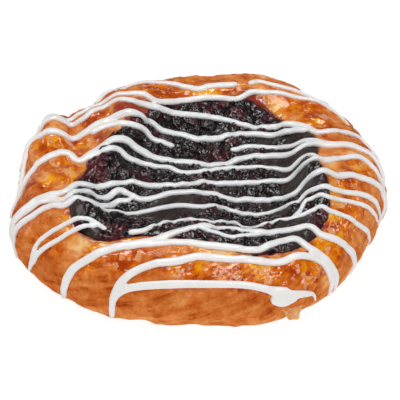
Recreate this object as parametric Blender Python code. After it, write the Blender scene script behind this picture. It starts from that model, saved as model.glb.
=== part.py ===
"""Blueberry snail danish: a coil of laminated dough, baked round a blueberry filling and
crossed by passes of white icing. Run it with blender --background --python part.py.

Everything lies on one skin. A place on it is a point (x, y) of an unrolled plan. Inside the
rim's crest the plan is the view from above. Beyond the crest the distance from the middle is
measured along the skin, over the shoulder to the belly and under it to the base.
The danish stands on the plane z = 0, with the origin under its middle and its front at -Y."""

import bmesh
import bpy
import numpy as np
from mathutils.geometry import delaunay_2d_cdt

MM = 0.001

# Outline from above: radii at even compass steps, counter-clockwise from +X.
OUTLINE = np.array([61.5, 62, 64.5, 66.5, 61.5, 60.5, 61.5, 62.5,
                    60, 64.5, 62, 59.5, 57.5, 60, 59.5, 58]) * MM
# Edge of the filling in the unrolled plan, at the same compass steps.
FILLING_EDGE = np.array([38.5, 42, 41, 43.5, 38.5, 36, 32.5, 31.5,
                         35.5, 45.5, 52.5, 42.5, 42, 49.5, 51, 45]) * MM
# Height of the rim's crest at eight compass points, from +X.
RIM_HEIGHTS = np.array([24.5, 22.5, 24, 25.5, 25.5, 24.5, 25, 23]) * MM

SHOULDER_WIDTH = 17 * MM    # crest to belly, from above
SHOULDER_LENGTH = 25 * MM   # crest to belly, along the skin
BELLY_HEIGHT = 9 * MM       # where the side bulges furthest
UNDER_WIDTH = 5 * MM        # belly back in to the base, from above
UNDER_LENGTH = 10 * MM      # belly to base, along the skin
MIDDLE_HEIGHT = 24 * MM     # the crest's mean height, which the hollow is measured from
HOLLOW_DEPTH = 6 * MM       # the middle lies this far below the crest
HOLLOW_SLOPE = 15 * MM      # width of the slope from the crest into the hollow
HOLLOW_REACH = 30 * MM      # the crest's ups and downs fade inside this radius

# Coils and grooves: middle x and y, half length, half width, height (mm), turn (degrees).
RIDGES = (
    (-26.5, 14, 20, 7, 6.0, 69),      # second coil, on the left
    (-42, 20, 18, 4.5, -4.0, 98),     # groove between the outer and the second coil
    (-54, 30, 10, 7, 3.5, 120),       # end of the outer coil, at the back left
    (-38, -26, 9, 6, 3.0, 75),        # coil that runs under the filling's left corner
    (-19, -30, 9, 6, 1.5, 0),
    (-2, -20, 18, 9, 3.5, 117),       # middle of the coil, under the filling
    (37, -6, 17, 4.5, 5.5, 105),      # second coil, on the right
    (4, 12, 16, 8, -2.0, 0),          # low place behind the middle
    (-20, 36, 10, 6, 2.0, 0),
)
# The outer coil's end is tucked in at the back left.
TUCK_ANGLE = np.radians(134.5)
TUCK_SPREAD = np.radians(6)
TUCK_DEPTH = 5 * MM

FILLING_DEPTH = 5 * MM      # in the middle
FILLING_EDGE_DEPTH = 2.5 * MM
FILLING_SINK = 0.4 * MM     # the filling's edge lies this far below the crust
EDGE_FADE = 5 * MM          # berries and crust flatten over this distance to the edge
GAP = 0.3 * MM              # clearance between the dough and the filling

CRUST_RELIEF = 0.45 * MM
CRUST_WAVE = 13 * MM
CRUST_WAVES = 9
WAVE_SPREAD = (0.6, 1.5)    # shortest and longest wave, as parts of CRUST_WAVE
BERRY_COUNT = 150
BERRY_RADIUS = (2.2 * MM, 3.8 * MM)
BERRY_HEIGHT = 1.0 * MM
BERRY_ROUND = 0.8           # how far a berry's cap falls to its edge
BERRY_STRAY = 0.25          # turn of a berry off its regular place, in radians
SMOOTH_SIDE = 14 * MM       # from here to the right the berries lie under a smooth film
SMOOTH_PART = 0.6           # part of their height that the film hides

COMPASS_STEPS = 90
SKIN_RINGS = 10
UNDER_RINGS = 3
TOP_SPACING = 3.6 * MM      # between the points of the filling's top
FLOOR_SPACING = 9 * MM      # and of its underside
EDGE_ROOM = 0.6             # of a spacing, between those points and the outline
ONLY_INSIDE = 1             # the triangulation keeps only what the outline holds
COLUMN_SPAN = (-5 * MM, 40 * MM)
COLUMN_CLEAR = 0.1 * MM     # further clearance between the icings of the two nodes
MERGE_DISTANCE = 0.02 * MM  # points nearer than this after the joining are made one
SHARP_ANGLE = np.radians(40)

# Icing: how thick it lies, how deep it is sunk in what carries it, and how its tails end.
ICING_HEIGHT = 0.55         # part of the width
ICING_SUNK = 0.8 * MM
ICING_STEP = 5.5 * MM
ICING_TAPER = 6 * MM
ICING_TIP = 0.45            # part of the width that is left at the tip
ICING_UNDER = 6.5 * MM      # a tail ends at most this far under the belly
ICING_ON_FILLING = 0.72     # it is drawn thinner over the filling
# One cross-section, as parts of the width and of the height. The two feet are sunk.
ICING_SECTION = ((-0.5, None), (-0.44, 0.5), (0.0, 1.0), (0.44, 0.5), (0.5, None))

# Each pass of icing: its width, then its route in the unrolled plan, all in mm.
PASSES = (
    (2.6, (-24, 38), (-15.5, 41.5), (-8, 42), (-1, 42.5), (5, 44.5), (13, 45.5)),
    (2.6, (16.5, 46), (20, 48), (24, 46.5), (29, 45), (36.5, 43.5), (44, 40)),
    (2.5, (-36, 33), (-31, 35), (-25, 35), (-19, 34.5), (-15, 34), (-11, 35.5), (-5, 38), (4, 40),
     (12, 40.5), (18, 42.5), (25, 41.5), (32, 40), (39, 38.5), (46, 36), (52, 32)),
    (2.8, (-66, 14), (-62, 18.5), (-57, 22.5), (-51, 25), (-45, 25), (-39, 25.5), (-35, 28.5),
     (-30, 31), (-24, 30.5), (-17, 31.5), (-8, 32.5), (3, 33), (9, 32), (15, 29), (23, 27),
     (30, 25.5), (35, 22.5), (39, 19), (45, 18.5), (51, 19), (58, 17.5), (66, 12)),
    (3.1, (-68, -12), (-65, -3), (-62, 5), (-60, 12), (-56, 17.5), (-50, 17), (-44, 15.5),
     (-38, 16.5), (-35, 18.5), (-31, 21), (-27, 22.5), (-20, 22.5), (-15.5, 25.5), (-12, 23.5),
     (-6, 23), (0, 21), (6, 22), (12, 24.5), (16, 26), (23, 25), (30, 22.5), (36, 21)),
    (2.4, (-26.5, 20), (-21.5, 21.5), (-19.5, 21), (-17, 19.5), (-12.5, 18), (-8, 16.5)),
    (2.7, (10, 17.5), (18, 18.5), (26, 17.5), (31, 15.5), (35, 15.5), (38, 14), (42, 11),
     (48, 11), (54, 10), (62, 4)),
    (3.1, (-69, -11), (-63, -5.5), (-57, 0), (-52, 2.5), (-47, 4.5), (-43, 4.5), (-39.5, 2),
     (-36, 3.5), (-31, 8), (-25, 10.5), (-20, 9.5), (-14, 8.5), (-4, 8), (5, 8.5), (11, 10.5),
     (17, 13), (25, 12.5), (31, 10.5), (35, 12.5), (38.5, 12), (42, 9.5), (48, 9.5), (54, 8),
     (62, 1.5)),
    (2.7, (-37, 2.5), (-34, 5), (-31, 6), (-26.5, 7.5), (-24, 5.5), (-18, 4.5), (-11, 3), (-5, 1),
     (2, 2.5), (11, 4.5), (20, 5), (26, 3.5), (30, 2), (34, 3), (38, 1), (42, 1), (47.5, 3),
     (53, 3), (57, 0.5), (63, -6)),
    (2.8, (-72, -30), (-67, -22), (-63, -18), (-57, -18.5), (-50, -17.5), (-43, -17), (-40, -12.5),
     (-36, -11), (-28, -7), (-21, -5.5), (-15, -7.5), (-5, -8), (1, -5), (8, -4.5), (20, -3.5),
     (28, -3), (32, -2), (36, -3), (40, -2), (44, 0.5)),
    (3.0, (-71, -33), (-66, -24), (-61, -20), (-55, -20), (-49, -19.5), (-43, -21.5), (-40, -19),
     (-37, -16), (-31, -14), (-27.5, -10.5), (-25, -10), (-21, -13), (-17, -14), (-10, -12.5),
     (-3, -13), (4, -12), (8, -13), (16, -12.5), (25, -12.5), (30, -13.5), (34, -11), (38, -11),
     (43, -9), (50, -6), (57, -4.5), (62, -6), (67, -10)),
    (2.9, (-70, -37), (-65, -28), (-60, -24.5), (-52, -23.5), (-47, -23.5), (-42.5, -25.5),
     (-38.5, -24), (-33.5, -23), (-30, -20), (-27, -15.5), (-22, -14.5)),
    (2.5, (-36, -26), (-31, -25), (-27, -22.5), (-21, -21), (-14, -19), (-8, -19.5), (-1, -21.5),
     (4, -20), (8, -18.5), (12, -19.5), (20, -19.5), (25, -18.5), (31, -19.5), (34, -17),
     (38, -17), (42, -16.5), (47, -14), (52, -13), (58, -12), (64, -12.5), (70, -17)),
    (2.2, (-22.5, -38.5), (-17, -37), (-12, -31.5), (-7, -28.5), (1, -30), (7, -29.5), (11, -27),
     (16, -31), (20, -31), (25, -29), (30, -28), (34, -26), (38, -24), (43, -24), (48, -23.5),
     (54, -23), (61, -22.5), (66, -24), (70, -28)),
    (2.1, (29, -29), (31.5, -25.5), (34.5, -21), (38, -19.5), (41, -20), (45, -18.5), (50, -17),
     (56, -16), (62, -16), (69, -20)),
    (2.1, (-68, -41), (-62, -38), (-57, -36.5), (-52, -35), (-47, -34), (-42, -34), (-38, -32.5),
     (-34, -33), (-31, -35.5), (-28, -38)),
    (2.1, (-64, -40), (-59, -38), (-53, -37.5), (-49, -36.5), (-45, -35.5), (-41, -36),
     (-37, -34.5), (-34, -34.5)),
    (2.8, (-60, -54), (-55, -52.5), (-49, -51), (-41, -46.5), (-34, -44.5), (-28, -43), (-18, -42),
     (-11, -40), (-7, -38), (2, -36.5), (8, -35), (14, -36.5), (20, -37.5), (28, -34.5),
     (34, -32), (38, -34), (46, -34), (53, -34.5), (57, -36), (62, -41)),
    (2.9, (-24, -43), (-14, -42.5), (-4, -43), (5, -44), (14, -45), (18, -44.5), (22, -42),
     (27, -39), (31, -38.5), (35, -40), (40, -41.5), (45, -43.5), (49, -47), (53, -52)),
    (2.1, (-3, -36.5), (3, -38.5), (9, -40.5), (15, -39.5), (21, -37.5)),
    (2.6, (-37, -66), (-33, -63), (-30, -58.5), (-25.5, -54), (-20, -51), (-14, -49.5), (-7, -49),
     (0, -47.5), (8, -48), (18, -48), (25, -47), (30, -44), (36, -43), (40, -43), (43, -45),
     (47, -47.5), (51, -50), (54, -54)),
    (2.6, (-32, -61.5), (-29, -58.5), (-25, -56.5), (-20, -56), (-8, -56), (4, -56), (14, -56),
     (21, -56.5), (25, -57), (29, -58), (34, -56.5), (39, -55), (42, -55.5), (45, -58)),
)
# A pool of icing on the last pass: its place, how much wider it is and how far it reaches.
POOL = (29 * MM, -58.5 * MM)
POOL_EXTRA = 4.2 * MM
POOL_REACH = 4 * MM

# A flake of crust that sticks out at the foot, front right.
FLAKE_ANGLE = np.radians(300.5)
FLAKE_SIZE = (5 * MM, 5 * MM, 1 * MM)
FLAKE_RADIUS = 58 * MM
FLAKE_HEIGHT = 3 * MM
FLAKE_DROOP = 0.25          # fall per length
# Its ragged outline, as parts of its width and length.
FLAKE_CORNERS = ((-0.6, -0.6), (-0.45, 0.25), (-0.3, 0.5), (0.05, 0.38), (0.3, 0.58), (0.55, 0.2),
                 (0.6, -0.6))

DOUGH_COLOUR = (0.60, 0.25, 0.06, 1)
FILLING_COLOUR = (0.012, 0.007, 0.012, 1)


def compass(values, angle):
    """A smooth closed curve through values at even compass steps (cubic, four neighbours)."""
    turns = angle / (2 * np.pi) % 1 * len(values)
    step = np.floor(turns).astype(int)
    t = turns - step
    a, b, c, d = (values[(step + k) % len(values)] for k in (-1, 0, 1, 2))
    return b + t / 2 * (c - a + t * (2 * a - 5 * b + 4 * c - d + t * (3 * (b - c) + d - a)))


def outline_radius(angle):
    """The danish's outline, with the notch where the coil's end is tucked in."""
    off = (angle - TUCK_ANGLE + np.pi) % (2 * np.pi) - np.pi
    return compass(OUTLINE, angle) - TUCK_DEPTH * np.exp(-((off / TUCK_SPREAD) ** 2))


def ridges(x, y):
    """Sum of the coils and grooves, each height * exp(-(along / length)^2 - (across / width)^2)."""
    total = np.zeros_like(x)
    for middle_x, middle_y, length, width, height, turn in RIDGES:
        cos, sin = np.cos(np.radians(turn)), np.sin(np.radians(turn))
        dx, dy = x / MM - middle_x, y / MM - middle_y
        along, across = dx * cos + dy * sin, dy * cos - dx * sin
        total += height * MM * np.exp(-((along / length) ** 2) - (across / width) ** 2)
    return total


def top_height(angle, radius, crest):
    """Height of the top without its coils: the crest, less the hollow inside it."""
    inward = np.clip((crest - radius) / HOLLOW_SLOPE, 0, 1)
    near = np.clip(radius / HOLLOW_REACH, 0, 1)
    level = MIDDLE_HEIGHT + (compass(RIM_HEIGHTS, angle) - MIDDLE_HEIGHT) * near
    return level - HOLLOW_DEPTH * inward**2 * (3 - 2 * inward)


def skin(x, y):
    """The points of the skin at (x, y) of the unrolled plan: the top, then two quarter ovals."""
    angle, distance = np.arctan2(y, x), np.hypot(x, y)
    crest = outline_radius(angle) - SHOULDER_WIDTH
    radius = np.minimum(distance, crest)
    height = top_height(angle, radius, crest) + ridges(x, y)
    over = np.clip((distance - crest) / SHOULDER_LENGTH, 0, 1) * np.pi / 2
    under = np.clip((distance - crest - SHOULDER_LENGTH) / UNDER_LENGTH, 0, 1) * np.pi / 2
    radius = radius + SHOULDER_WIDTH * np.sin(over) - UNDER_WIDTH * (1 - np.cos(under))
    height = BELLY_HEIGHT + (height - BELLY_HEIGHT) * np.cos(over) - BELLY_HEIGHT * np.sin(under)
    return np.stack([radius * np.cos(angle), radius * np.sin(angle), height], -1)


def skin_normal(x, y):
    """Unit normals of the skin, from its slopes over a tenth of a millimetre."""
    small = 0.1 * MM
    along_x = skin(x + small, y) - skin(x - small, y)
    along_y = skin(x, y + small) - skin(x, y - small)
    normal = np.cross(along_x, along_y)
    return normal / np.maximum(np.linalg.norm(normal, axis=-1, keepdims=True), 1e-12)


def crust_relief(points):
    """Soft lumps of the crust: a sum of sine waves of random directions in space."""
    chance = np.random.default_rng(7)
    direction = chance.normal(size=(CRUST_WAVES, 3))
    direction /= np.linalg.norm(direction, axis=1, keepdims=True)
    length = CRUST_WAVE * chance.uniform(*WAVE_SPREAD, CRUST_WAVES)
    phase = chance.uniform(0, 2 * np.pi, CRUST_WAVES)
    waves = np.sin(2 * np.pi * (points @ direction.T) / length + phase)
    return CRUST_RELIEF * waves.sum(-1) / np.sqrt(CRUST_WAVES)


def berry_places():
    """Middles and radii of the berries, scattered over the filling by the golden angle."""
    chance = np.random.default_rng(11)
    number = np.arange(BERRY_COUNT)
    stray = chance.uniform(-BERRY_STRAY, BERRY_STRAY, BERRY_COUNT)
    angle = number * np.pi * (3 - 5**0.5) + stray
    reach = compass(FILLING_EDGE, angle) * np.sqrt((number + 0.5) / BERRY_COUNT)
    radius = chance.uniform(*BERRY_RADIUS, BERRY_COUNT)
    return reach * np.cos(angle), reach * np.sin(angle), radius


def berry_relief(x, y):
    """Berries pressed together: at each place the highest cap, flatter at the right and the edge."""
    middle_x, middle_y, radius = berry_places()
    away = np.hypot(x[..., None] - middle_x, y[..., None] - middle_y) / radius
    cap = np.sqrt(np.clip(1 - away**2 * BERRY_ROUND, 0, 1)) * radius / BERRY_RADIUS[1]
    edge = compass(FILLING_EDGE, np.arctan2(y, x)) - np.hypot(x, y)
    fade = np.clip(edge / EDGE_FADE, 0, 1)
    film = 1 - SMOOTH_PART * np.clip((x - SMOOTH_SIDE) / HOLLOW_SLOPE, 0, 1)
    return BERRY_HEIGHT * cap.max(-1) * fade * film


def material(name, colour, roughness):
    made = bpy.data.materials.new(name)
    made.use_nodes = True
    shader = made.node_tree.nodes["Principled BSDF"]
    shader.inputs["Base Color"].default_value = colour
    shader.inputs["Roughness"].default_value = roughness
    shader.inputs["Metallic"].default_value = 0
    made.diffuse_color = colour
    return made


def mesh_object(name, points, faces):
    """A linked mesh object with its faces turned outwards."""
    mesh = bpy.data.meshes.new(name)
    mesh.from_pydata([tuple(point) for point in points], [], faces)
    work = bmesh.new()
    work.from_mesh(mesh)
    bmesh.ops.recalc_face_normals(work, faces=work.faces)
    work.to_mesh(mesh)
    work.free()
    made = bpy.data.objects.new(name, mesh)
    bpy.context.scene.collection.objects.link(made)
    return made


def ring_faces(low, high):
    """Quads between two rings of points, given as lists of their numbers."""
    nexts = np.roll(low, -1), np.roll(high, -1)
    return [tuple(map(int, quad)) for quad in zip(low, *nexts, high)]


def closed_rings(name, rings):
    """A closed body from rings of points, with a flat face at each end."""
    count = len(rings[0])
    last = (len(rings) - 1) * count
    faces = [tuple(range(count)), tuple(range(last, last + count))]
    for start in range(0, last, count):
        low = np.arange(start, start + count)
        faces += ring_faces(low, low + count)
    return mesh_object(name, np.concatenate(rings), faces)


def compass_angles():
    return np.arange(COMPASS_STEPS) / COMPASS_STEPS * 2 * np.pi


def on_plan(distance, angle):
    return distance * np.cos(angle), distance * np.sin(angle)


def filling_wall(clearance):
    """The wall between dough and filling, as plan distances, moved outwards by a clearance."""
    return compass(FILLING_EDGE, compass_angles()) + clearance


def sheet_inside(wall, spacing):
    """Plan points and triangles that fill the wall's outline. The outline's points come first."""
    outline = np.stack(on_plan(wall, compass_angles()), -1)
    count = len(outline)
    most = int(np.ceil(wall.max() / spacing * 1.2))
    row, column = np.meshgrid(np.arange(-most, most + 1), np.arange(-most, most + 1))
    x = (column + 0.5 * (row % 2)) * spacing
    y = row * spacing * 3**0.5 / 2
    room = compass(wall, np.arctan2(y, x)) - np.hypot(x, y)
    inner = np.stack([x, y], -1)[room > EDGE_ROOM * spacing]
    points = [tuple(point) for point in np.vstack([outline, inner]) / MM]
    triangles = delaunay_2d_cdt(points, [], [tuple(range(count))], ONLY_INSIDE, 1e-6)[2]
    return np.array(points) * MM, [tuple(triangle) for triangle in triangles]


def floor_sheet(wall, lift):
    """The hollow's floor inside a wall: the skin, lowered by the filling's depth, and its triangles.
    Dough and filling share its inner points, so that the clearance between them stays even."""
    plan, triangles = sheet_inside(filling_wall(0), FLOOR_SPACING)
    plan[:COMPASS_STEPS] = np.stack(on_plan(wall, compass_angles()), -1)
    x, y = plan.T
    points = skin(x, y)
    part = np.clip(np.hypot(x, y) / compass(wall, np.arctan2(y, x)), 0, 1)
    points[:, 2] -= FILLING_DEPTH + (FILLING_EDGE_DEPTH - FILLING_DEPTH) * part**2 - lift
    return points, triangles


def make_dough():
    """The coil with the hollow for the filling, from the base up over the rim and down inside."""
    angle = compass_angles()
    wall = filling_wall(GAP / 2)
    belly = outline_radius(angle) - SHOULDER_WIDTH + SHOULDER_LENGTH
    rings = []
    for part in np.linspace(1, 0, UNDER_RINGS + 1)[:-1]:
        rings.append(on_plan(belly + UNDER_LENGTH * part, angle))
    for part in np.linspace(1, 0, SKIN_RINGS + 1):
        rings.append(on_plan(wall + (belly - wall) * part, angle))
    points = []
    faces = [tuple(range(COMPASS_STEPS))]
    for number, (x, y) in enumerate(rings):
        ring = skin(x, y)
        fade = np.clip(ring[:, 2] / BELLY_HEIGHT, 0, 1)
        fade = fade * np.clip((np.hypot(x, y) - wall) / EDGE_FADE, 0, 1)
        points.append(ring + skin_normal(x, y) * (crust_relief(ring) * fade)[:, None])
        low = np.arange(COMPASS_STEPS) + number * COMPASS_STEPS
        faces += ring_faces(low, low + COMPASS_STEPS)
    points[0][:, 2] = 0
    floor, triangles = floor_sheet(wall, 0)
    floor[:COMPASS_STEPS, :2] = points[-1][:, :2]
    start = len(rings) * COMPASS_STEPS
    faces += [tuple(corner + start for corner in triangle) for triangle in triangles]
    return mesh_object("dough", np.concatenate(points + [floor]), faces)


def make_filling():
    """The blueberry filling: berries on top, an upright edge and a plain underside."""
    wall = filling_wall(-GAP / 2)
    plan, top_faces = sheet_inside(wall, TOP_SPACING)
    x, y = plan.T
    top = skin(x, y)
    near_edge = np.clip(np.hypot(x, y) / compass(wall, np.arctan2(y, x)), 0, 1) ** 2
    top[:, 2] += berry_relief(x, y) - FILLING_SINK * near_edge
    floor, floor_faces = floor_sheet(wall, GAP)
    start = len(top)
    faces = top_faces + [tuple(corner + start for corner in triangle) for triangle in floor_faces]
    edge = np.arange(COMPASS_STEPS)
    faces += ring_faces(edge + start, edge)
    return mesh_object("filling", np.concatenate([top, floor]), faces)


def route_points(corners):
    """Even points of a smooth curve through a route's corners (cubic, four neighbours), down to
    where its tails end, and their distances along it."""
    corners = np.array(corners) * MM
    ends = (2 * corners[0] - corners[1], 2 * corners[-1] - corners[-2])
    q = np.vstack([ends[0], corners, ends[1]])
    t = np.linspace(0, 1, 12, endpoint=False)[:, None]
    pieces = []
    for a, b, c, d in zip(q[:-3], q[1:-2], q[2:-1], q[3:]):
        pieces.append(b + t / 2 * (c - a + t * (2 * a - 5 * b + 4 * c - d + t * (3 * (b - c) + d - a))))
    fine = np.vstack(pieces + [corners[-1:]])
    crest = outline_radius(np.arctan2(fine[:, 1], fine[:, 0])) - SHOULDER_WIDTH
    fine = fine[np.linalg.norm(fine, axis=1) < crest + SHOULDER_LENGTH + ICING_UNDER]
    run = np.concatenate([[0], np.cumsum(np.linalg.norm(np.diff(fine, axis=0), axis=1))])
    even = np.linspace(0, run[-1], max(4, int(round(run[-1] / ICING_STEP)) + 1))
    return np.stack([np.interp(even, run, fine[:, 0]), np.interp(even, run, fine[:, 1])], -1), even


def icing_width(plan, run, width):
    """Width along a pass: thinner over the filling, wide at the pool, drawn out at both ends."""
    angle, distance = np.arctan2(plan[:, 1], plan[:, 0]), np.hypot(plan[:, 0], plan[:, 1])
    inside = np.clip((compass(FILLING_EDGE, angle) - distance) / EDGE_FADE, 0, 1)
    wide = width * (1 - (1 - ICING_ON_FILLING) * inside)
    pool = np.hypot(plan[:, 0] - POOL[0], plan[:, 1] - POOL[1])
    wide = wide + POOL_EXTRA * np.exp(-((pool / POOL_REACH) ** 2))
    to_end = np.minimum(run, run[-1] - run)
    return wide * (ICING_TIP + (1 - ICING_TIP) * np.sqrt(np.clip(to_end / ICING_TAPER, 0, 1)))


def make_pass(number, width, corners):
    """One pass of icing as a closed body that lies on the skin, with its feet sunk in it."""
    plan, run = route_points(corners)
    points = skin(plan[:, 0], plan[:, 1])
    up = skin_normal(plan[:, 0], plan[:, 1])
    along = np.gradient(points, axis=0)
    side = np.cross(along, up)
    side /= np.linalg.norm(side, axis=1, keepdims=True)
    wide = icing_width(plan, run, width * MM)[:, None]
    high = ICING_HEIGHT * width * MM * (wide / (width * MM)) ** 0.5
    section = []
    for across, rise in ICING_SECTION:
        lift = -ICING_SUNK if rise is None else rise * high
        section.append(points + side * across * wide + up * lift)
    rings = list(np.stack(section, 1))
    return closed_rings(f"pass_{number:02d}", rings)


def make_column(name, clearance):
    """An upright prism over the filling, which parts the icing on it from the icing on the crust."""
    angle = compass_angles()
    edge = skin(*on_plan(filling_wall(clearance), angle))
    low, high = edge.copy(), edge.copy()
    low[:, 2], high[:, 2] = COLUMN_SPAN
    made = closed_rings(name, [low, high])
    made.hide_render = True
    made.display_type = "WIRE"
    return made


def apply_boolean(target, operation, operand):
    """Applies a Boolean with an object or with all the objects of a collection. The manifold
    solver joins these thin strands cleanly and in seconds."""
    modifier = target.modifiers.new(operation.lower(), "BOOLEAN")
    modifier.operation = operation
    modifier.solver = "MANIFOLD"
    if isinstance(operand, bpy.types.Collection):
        modifier.operand_type = "COLLECTION"
        modifier.collection = operand
    else:
        modifier.object = operand
    graph = bpy.context.evaluated_depsgraph_get()
    mesh = bpy.data.meshes.new_from_object(target.evaluated_get(graph))
    target.modifiers.clear()
    target.data = mesh


def keep_largest_body(target):
    """Drops loose scraps of icing, and any hollow that the joining sealed."""
    work = bmesh.new()
    work.from_mesh(target.data)
    bmesh.ops.remove_doubles(work, verts=work.verts, dist=MERGE_DISTANCE)
    bmesh.ops.dissolve_degenerate(work, edges=work.edges, dist=MERGE_DISTANCE)
    bmesh.ops.triangulate(work, faces=work.faces)
    unseen = set(work.faces)
    bodies = []
    while unseen:
        front = [unseen.pop()]
        body = []
        while front:
            face = front.pop()
            body.append(face)
            near = {other for edge in face.edges for other in edge.link_faces} & unseen
            unseen -= near
            front += near
        bodies.append(body)
    bodies.sort(key=len)
    scraps = [face for body in bodies[:-1] for face in body]
    bmesh.ops.delete(work, geom=scraps, context="FACES")
    work.to_mesh(target.data)
    work.free()


def fuse_icing(target, operation, column):
    """Joins every pass to a node, keeping only what lies on that node's side of the column."""
    group = bpy.data.collections.new("icing_on_" + target.name)
    bpy.context.scene.collection.children.link(group)
    for number, (width, *corners) in enumerate(PASSES, 1):
        icing = make_pass(number, width, corners)
        apply_boolean(icing, operation, column)
        if not icing.data.polygons:
            bpy.data.objects.remove(icing)
            continue
        bpy.context.scene.collection.objects.unlink(icing)
        group.objects.link(icing)
    apply_boolean(target, "UNION", group)
    for icing in list(group.objects):
        bpy.data.objects.remove(icing)
    bpy.data.collections.remove(group)
    keep_largest_body(target)


def make_flake():
    """A thin flake of crust, pointing out and a little down at the foot."""
    width, length, thick = FLAKE_SIZE
    cos, sin = np.cos(FLAKE_ANGLE), np.sin(FLAKE_ANGLE)
    out = np.array([cos, sin, -FLAKE_DROOP])
    side = np.array([-sin, cos, 0])
    root = np.array([cos * FLAKE_RADIUS, sin * FLAKE_RADIUS, FLAKE_HEIGHT])
    flat = np.array([root + side * a * width + out * b * length for a, b in FLAKE_CORNERS])
    rise = np.array([0, 0, thick / 2])
    return closed_rings("flake", [flat - rise, flat + rise])


def main():
    for old in list(bpy.data.objects):
        bpy.data.objects.remove(old)
    dough = make_dough()
    filling = make_filling()
    flake = make_flake()
    apply_boolean(dough, "UNION", flake)
    bpy.data.objects.remove(flake)
    outer = make_column("icing_column_outer", GAP / 2 + COLUMN_CLEAR)
    inner = make_column("icing_column_inner", -GAP / 2 - COLUMN_CLEAR)
    fuse_icing(dough, "DIFFERENCE", outer)
    fuse_icing(filling, "INTERSECT", inner)
    bpy.data.objects.remove(outer)
    bpy.data.objects.remove(inner)
    looks = (material("crust", DOUGH_COLOUR, 0.45), material("blueberry", FILLING_COLOUR, 0.2))
    for made, look in zip((dough, filling), looks):
        made.data.materials.clear()
        made.data.materials.append(look)
        made.data.shade_smooth()
        made.data.set_sharp_from_angle(angle=SHARP_ANGLE)


main()
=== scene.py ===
# %% [markdown]
# Blueberry snail danish: the looks.
# The imported model gives two plain solids, the dough and the filling. This lesson dresses them
# with a baked crust, cooked blueberries in gel and thin white icing, and sets up a small studio.
# First the frame is loaded. It holds the solids at their real size, in metres, and everything
# made below is placed by it.

import bmesh
import bpy
import numpy as np
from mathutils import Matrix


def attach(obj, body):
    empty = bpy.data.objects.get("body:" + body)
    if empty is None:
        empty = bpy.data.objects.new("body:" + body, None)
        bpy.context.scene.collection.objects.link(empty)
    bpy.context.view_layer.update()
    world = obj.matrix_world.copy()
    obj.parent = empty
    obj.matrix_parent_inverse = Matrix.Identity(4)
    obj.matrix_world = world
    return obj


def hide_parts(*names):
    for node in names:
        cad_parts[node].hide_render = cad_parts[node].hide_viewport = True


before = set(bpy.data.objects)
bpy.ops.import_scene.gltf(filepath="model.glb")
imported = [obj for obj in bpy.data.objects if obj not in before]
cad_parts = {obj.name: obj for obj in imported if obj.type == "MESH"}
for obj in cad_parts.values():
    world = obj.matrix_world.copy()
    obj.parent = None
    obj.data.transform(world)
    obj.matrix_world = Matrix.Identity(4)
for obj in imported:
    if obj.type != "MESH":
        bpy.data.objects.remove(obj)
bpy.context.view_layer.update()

MM = 0.001

# %% [markdown]
# A danish is easiest to describe from above. Its outline, the edge of its filling and the height
# of its rim are closed curves, each given by a few values at even compass steps. The rim rolls
# over its crest and down the side, so a place on the skin is given in an unrolled plan: inside
# the crest it is the view from above, and beyond it the distance is measured along the skin.
# These are the sizes that the solids were made from, so the looks lie exactly on them.

# %% Sizes of the danish
OUTLINE = np.array([61.5, 62, 64.5, 66.5, 61.5, 60.5, 61.5, 62.5,
                    60, 64.5, 62, 59.5, 57.5, 60, 59.5, 58]) * MM
FILLING_EDGE = np.array([38.5, 42, 41, 43.5, 38.5, 36, 32.5, 31.5,
                         35.5, 45.5, 52.5, 42.5, 42, 49.5, 51, 45]) * MM
RIM_HEIGHTS = np.array([24.5, 22.5, 24, 25.5, 25.5, 24.5, 25, 23]) * MM

SHOULDER_WIDTH = 17 * MM    # crest to belly, from above
SHOULDER_LENGTH = 25 * MM   # crest to belly, along the skin
BELLY_HEIGHT = 9 * MM       # where the side bulges furthest
UNDER_WIDTH = 5 * MM        # belly back in to the base, from above
UNDER_LENGTH = 10 * MM      # belly to base, along the skin
MIDDLE_HEIGHT = 24 * MM     # the crest's mean height
HOLLOW_DEPTH = 6 * MM       # the middle lies this far below the crest
HOLLOW_SLOPE = 15 * MM      # width of the slope from the crest into the hollow
HOLLOW_REACH = 30 * MM      # the crest's ups and downs fade inside this radius

# Coils and grooves: middle x and y, half length, half width, height (mm), turn (degrees).
RIDGES = (
    (-26.5, 14, 20, 7, 6.0, 69),
    (-42, 20, 18, 4.5, -4.0, 98),
    (-54, 30, 10, 7, 3.5, 120),
    (-38, -26, 9, 6, 3.0, 75),
    (-19, -30, 9, 6, 1.5, 0),
    (-2, -20, 18, 9, 3.5, 117),
    (37, -6, 17, 4.5, 5.5, 105),
    (4, 12, 16, 8, -2.0, 0),
    (-20, 36, 10, 6, 2.0, 0),
)
TUCK_ANGLE = np.radians(134.5)
TUCK_SPREAD = np.radians(6)
TUCK_DEPTH = 5 * MM

# %% [markdown]
# First a smooth closed curve goes through each list of values, so that the outline, the crest
# and the filling's edge are known in every direction. Everything here works on whole arrays,
# which lets one call handle a hundred thousand points.

# %% Curves round the danish
def between(a, b, c, d, t):
    """A smooth cubic from b to c as t goes from 0 to 1; its slopes are half c - a and d - b."""
    return b + t / 2 * (c - a + t * (2 * a - 5 * b + 4 * c - d + t * (3 * (b - c) + d - a)))


def compass(values, angle):
    """A smooth closed curve through values at even compass steps."""
    turns = angle / (2 * np.pi) % 1 * len(values)
    step = np.floor(turns).astype(int)
    return between(*(values[(step + k) % len(values)] for k in (-1, 0, 1, 2)), turns - step)


def polar(radius, angle, height):
    """Points from polar places: radius * cos(angle), radius * sin(angle) and the height."""
    return np.stack([radius * np.cos(angle), radius * np.sin(angle), height], -1)


def flat(x, y):
    """Points of the plan, at height zero."""
    return np.stack([x, y, 0 * x], -1)


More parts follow.
